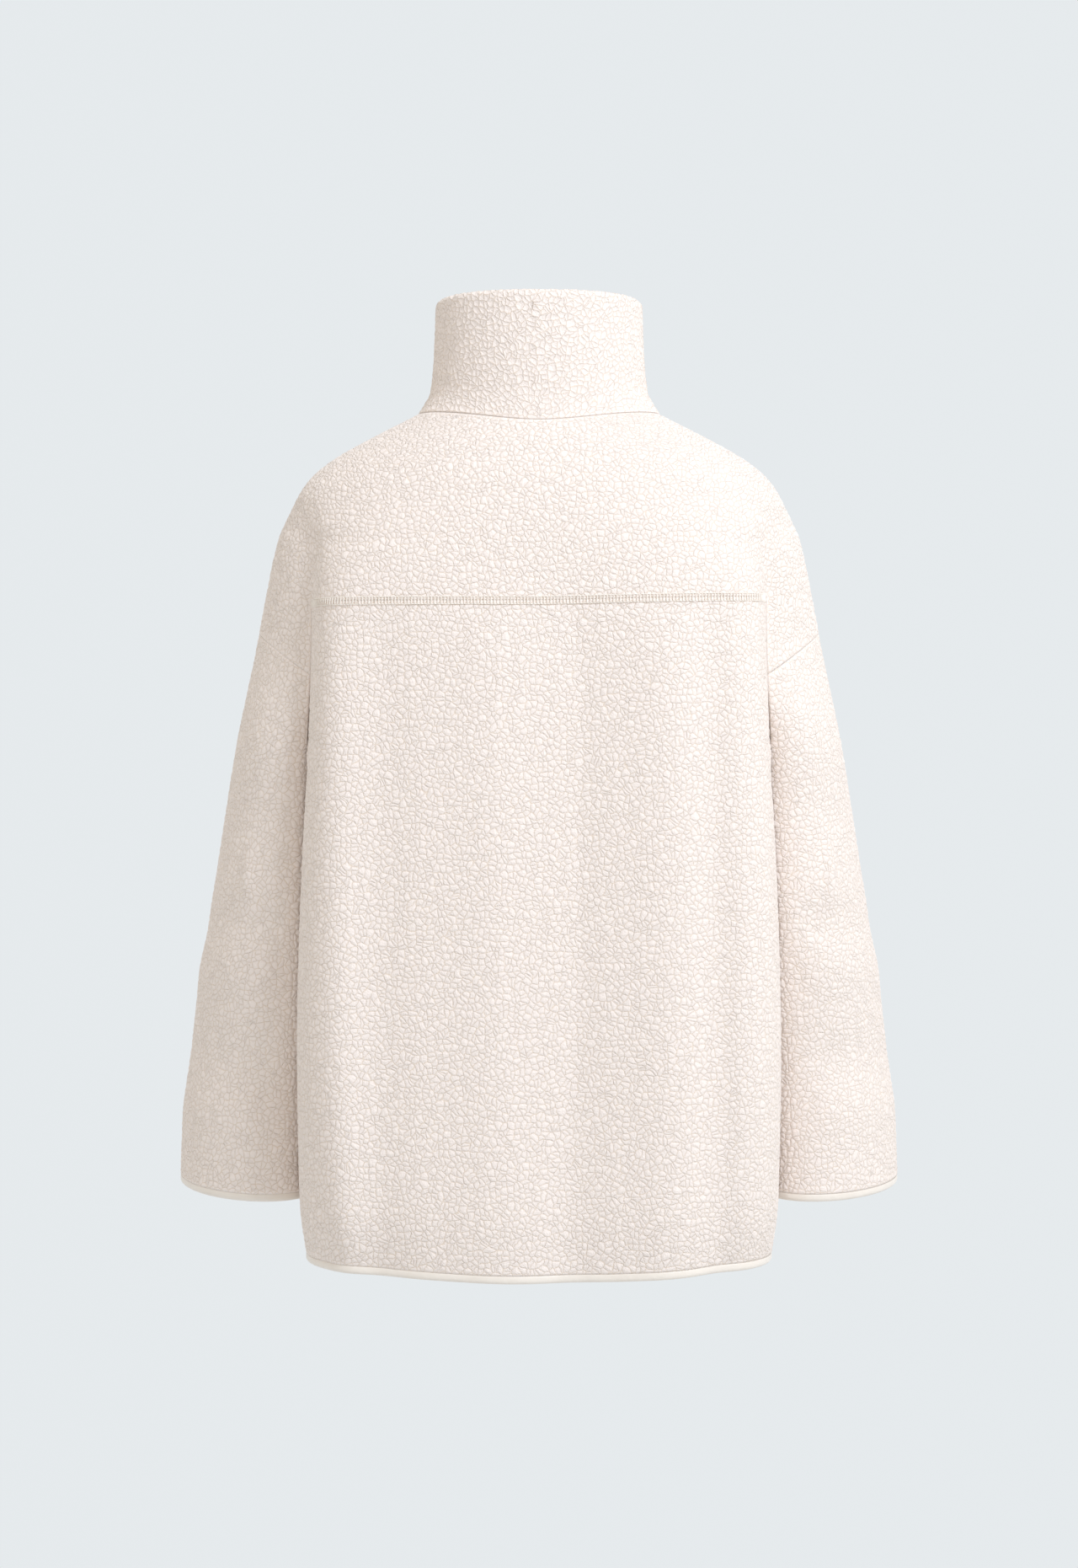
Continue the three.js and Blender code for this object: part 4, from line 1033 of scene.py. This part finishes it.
def collar_faces(half, us, t):
    """The collar's outer face: t is 0 at the neck edge and 1 at the top."""
    foot = half.above(us, neck_z(half.above, us))
    turn = np.arctan2(foot[:, 1], np.abs(foot[:, 0]))
    reach = np.where(foot[:, 1] > 0, COLLAR_HEAD["back"], COLLAR_HEAD["front"])
    round_x = COLLAR_HEAD["wide"] * np.maximum(0, np.cos(turn)) ** COLLAR_HEAD["fullness"]
    head_x = np.maximum(ZIP_HALF, round_x)
    head_x = half.side * np.where(us < 1e-6, 0, np.where(us > 3.9999, ZIP_HALF, head_x))
    head = np.column_stack([head_x, reach * np.sin(turn)])
    lean = at(COLLAR_LEAN, 1, t)[:, None, None]
    xy = mix(foot[None, :, :2], head[None], lean)
    z = mix(foot[None, :, 2], collar_top_z(foot[:, 1])[None], t[:, None])
    return np.concatenate([xy, z[..., None]], axis=-1)


def collar_piece(halves):
    """The stand collar: one length of shearling folded over along the top edge."""
    radius = COLLAR_WALL / 2
    us = columns_of(COLLAR_COLUMNS, 0, 4)
    t = np.linspace(0, 1 - radius / COLLAR_TALL, COLLAR_ROWS + 1)
    left, right = (collar_faces(half, us, t) for half in halves)
    outer = np.concatenate([left[:, ::-1], right[:, 1:]], axis=1)
    out = square_to(np.gradient(outer, axis=1))
    out *= np.sign(np.sum(out * outer, axis=-1, keepdims=True))

    turns = np.linspace(0, np.pi, COLLAR_FOLD_STEPS)[1:-1, None, None]
    middle = outer[-1] - radius * out[-1]
    fold = middle + radius * (np.cos(turns) * out[-1] + np.sin(turns) * np.array([0, 0, 1]))
    inner = (outer - COLLAR_WALL * out)[::-1]
    rings = np.concatenate([outer, fold, inner]).transpose(1, 0, 2)
    piece = sweep("collar_fleece", rings)
    points = rings.reshape(-1, 3)
    ends = np.concatenate([rings[0], rings[-1], rings[:, 0], rings[:, -1]])
    off = distance_to(points, ends, PINCH)
    set_values(piece.data, "pile", pile_share(off))
    across = steps_up(rings[:, [COLLAR_MEASURED_ROW]])[:, 0]
    up = steps_up(rings.transpose(1, 0, 2)).T
    set_lay(piece, np.stack([across[:, None] + 0 * up, up], axis=-1).reshape(-1, 2))
    return piece, across[-1] * MM, up.max() * MM


# ---- bindings
def binding_rings(line, out, away):
    """The folded binding round an edge of the cloth; line lies on the cloth's outer face."""
    turn = np.linspace(0, np.pi, 11)
    down = BINDING_ROUND["middle"] + BINDING_ROUND["deep"] * np.sin(turn)
    arc = np.column_stack([BINDING_ROUND["half"] * np.cos(turn), down])
    half, down = np.vstack([BINDING_LIPS, arc, BINDING_LIPS[::-1] * [-1, 1]]).T
    middle = line - SHEARLING / 2 * out
    return middle[:, None] + half[None, :, None] * out[:, None] + down[None, :, None] * away


def hem_piece(halves):
    us = columns_of(HEM_COLUMNS, 0, 4)
    left, right = (half.below(us, hem_z(us)) for half in halves)
    line = np.concatenate([left[::-1], right[1:]])
    out = level_normals(line, closed=False)
    return sweep("hem_binding_satin", binding_rings(line, out, np.array([0, 0, -1.0])))


def cuff_piece(half):
    angles = np.linspace(0, 360, CUFF_POINTS + 1)[:-1]
    z = cuff_z(angles)
    line = np.column_stack([arm_points(z, angles) * [half.side, 1], z])
    if half.side > 0:
        line = line[::-1]
    away = unit(np.array([0, CUFF_SLOPE, -1]))
    out = level_normals(line, closed=True)
    out -= np.sum(out * away, axis=1, keepdims=True) * away
    return sweep("cuff_binding_satin_" + half.word, binding_rings(line, out, away), closed=True)


# ---- zip
def zip_line(half, spacing):
    """Places up the front edge on the midline, with the directions outwards and along it."""
    neck = neck_z(half.above, np.array([4.0]))[0]
    z = np.arange(HEM_Z - ZIP_ENDS["below_hem"], COLLAR_TOP["front"] - ZIP_ENDS["below_collar"], 1.0)
    four = np.full(z.shape, 4.0)
    below = half.below(four, np.clip(z, HEM_Z, ARMPIT_Z))[:, 1]
    above = half.above(four, np.clip(z, ARMPIT_Z, neck))[:, 1]
    t = np.clip((z - neck) / (COLLAR_TOP["front"] - neck), 0, 1)
    stand = collar_faces(half, np.array([4.0]), t)[:, 0, 1]
    y = np.where(z < ARMPIT_Z, below, np.where(z < neck, above, stand))
    edge = np.column_stack([y, z])
    total = travelled(edge)[-1]
    line = along(edge, np.linspace(0, total, int(total / spacing) + 1))
    up = unit(np.gradient(line, axis=0))
    return line, np.column_stack([-up[:, 1], up[:, 0]]), up


def tape_piece(half):
    """A strip beside the midline with one section all along."""
    line, out, _ = zip_line(half, TAPE_STEP)
    rings = np.zeros((len(line), len(TAPE_SECTION), 3))
    rings[..., 0] = half.side * TAPE_SECTION[:, 0]
    rings[..., 1:] = line[:, None] + TAPE_SECTION[None, :, 1:] * out[:, None]
    return sweep("zip_tape_woven_" + half.word, rings)


def tooth(half, place, outwards, upwards):
    """One moulded tooth, ring by ring from its tip."""
    turn = round_turn(TOOTH["sides"]) + np.pi / TOOTH["sides"]
    rings = []
    for x, swell in TOOTH_SECTIONS:
        tall = TOOTH["half_tall"] * swell * np.cos(turn)
        deep = TOOTH["half_deep"] * swell * np.sin(turn) - TOOTH["sunk"]
        yz = place + tall[:, None] * upwards + deep[:, None] * outwards
        rings.append(np.column_stack([np.full(TOOTH["sides"], half.side * x), yz]))
    return np.array(rings)


def teeth_piece(half):
    """Moulded teeth that reach past the midline in turn with those of the other half."""
    line, out, up = zip_line(half, TOOTH_PITCH / 2)
    start = TEETH_LEFT_OUT["first"] + (0 if half.side > 0 else 1)
    chosen = slice(start, -TEETH_LEFT_OUT["last"], 2)
    teeth = [tooth(half, *at_tooth) for at_tooth in zip(line[chosen], out[chosen], up[chosen])]
    return many_tubes("zip_teeth_" + half.word, teeth)


# ---- stitching
def stitch(start, end):
    """A thread's short straight run, a little thinner at its ends."""
    along_it = end - start
    aside = unit(np.cross(along_it, [0, 0, 1.0]) + 1e-6)
    other = np.cross(unit(along_it), aside)
    turn = round_turn(THREAD["sides"])[:, None]
    ring = np.cos(turn) * aside + np.sin(turn) * other
    return np.array([start + along_it * t + ring * THREAD["radius"] * swell for t, swell in THREAD_SWELL])


def yoke_seam_piece(halves):
    """The flat seam across the back: two needle rows with a thread that crosses between them."""
    us = np.linspace(0, 1, SEAM_POINTS)
    rows = []
    for offset in (-SEAM_BAND / 2, SEAM_BAND / 2):
        left, right = (half.above(us, yoke_z(us, half.side) + offset) for half in halves)
        line = np.concatenate([left[::-1], right[1:]])
        gone = steps_up(line[:, None])[:, 0]
        spots = np.arange(1.0, gone[-1], SEAM_PITCH)
        rows.append(np.column_stack([np.interp(spots, gone, line[:, i]) for i in range(3)]))
    count = min(len(row) for row in rows)
    low, high = rows[0][:count], rows[1][:count]
    over = np.array([0, SEAM_LIFT, 0])
    under = over / 2
    stitches = []
    for i in range(count - 1):
        for row in (low, high):
            stitches.append(stitch(row[i] + under, mix(row[i], row[i + 1], STITCH_SHARE) + under))
        stitches.append(stitch(low[i] + over, high[i] + over))
    return many_tubes("yoke_seam_thread", stitches)


# ---- all of it
def hard_parts(nodes, plastic):
    """The box is moulded; the slider and its pull are metal."""
    metal = brushed_metal()
    for node, material in (("zip_box", plastic), ("zip_slider", metal), ("zip_pull", metal)):
        solid = nodes[node]
        solid.data.materials.clear()
        solid.data.materials.append(material)


def build_jacket(nodes):
    halves = [Half(1, "left"), Half(-1, "right")]
    wool, lining, ribbon, cotton = fleece(), knit_lining(), satin(), thread()
    tape, plastic = woven_tape(), moulded_plastic()
    trims = {
        "back": [
            dress(hem_piece(halves), "hem_binding", "binding", ribbon),
            dress(yoke_seam_piece(halves), None, "binding", cotton),
        ],
        "yoke": [],
    }
    for half in halves:
        word = half.word
        trims["sleeve_" + word] = [dress(cuff_piece(half), "cuff_binding_" + word, "binding", ribbon)]
        trims["front_" + word] = [
            dress(tape_piece(half), "zip_tape_" + word, "zip_tape", tape),
            dress(teeth_piece(half), "zip_chain_" + word, "zip_moulded", plastic),
        ]
    for node, grids in shearling_parts(halves).items():
        piece = cloth_piece(node + "_fleece", grids, SHEARLING)
        dress(piece, node, "fleece", wool, lining)
        raise_pile(piece)
    collar, length, height = collar_piece(halves)
    raise_pile(dress(collar, "collar", "fleece", wool))
    hard_parts(nodes, plastic)


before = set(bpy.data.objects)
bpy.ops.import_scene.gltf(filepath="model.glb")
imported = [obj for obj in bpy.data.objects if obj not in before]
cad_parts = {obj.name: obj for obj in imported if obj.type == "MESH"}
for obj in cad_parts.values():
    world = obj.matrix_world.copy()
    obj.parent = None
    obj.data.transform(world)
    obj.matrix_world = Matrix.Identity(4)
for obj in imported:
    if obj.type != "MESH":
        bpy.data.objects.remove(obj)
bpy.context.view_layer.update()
stage()
build_jacket(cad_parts)
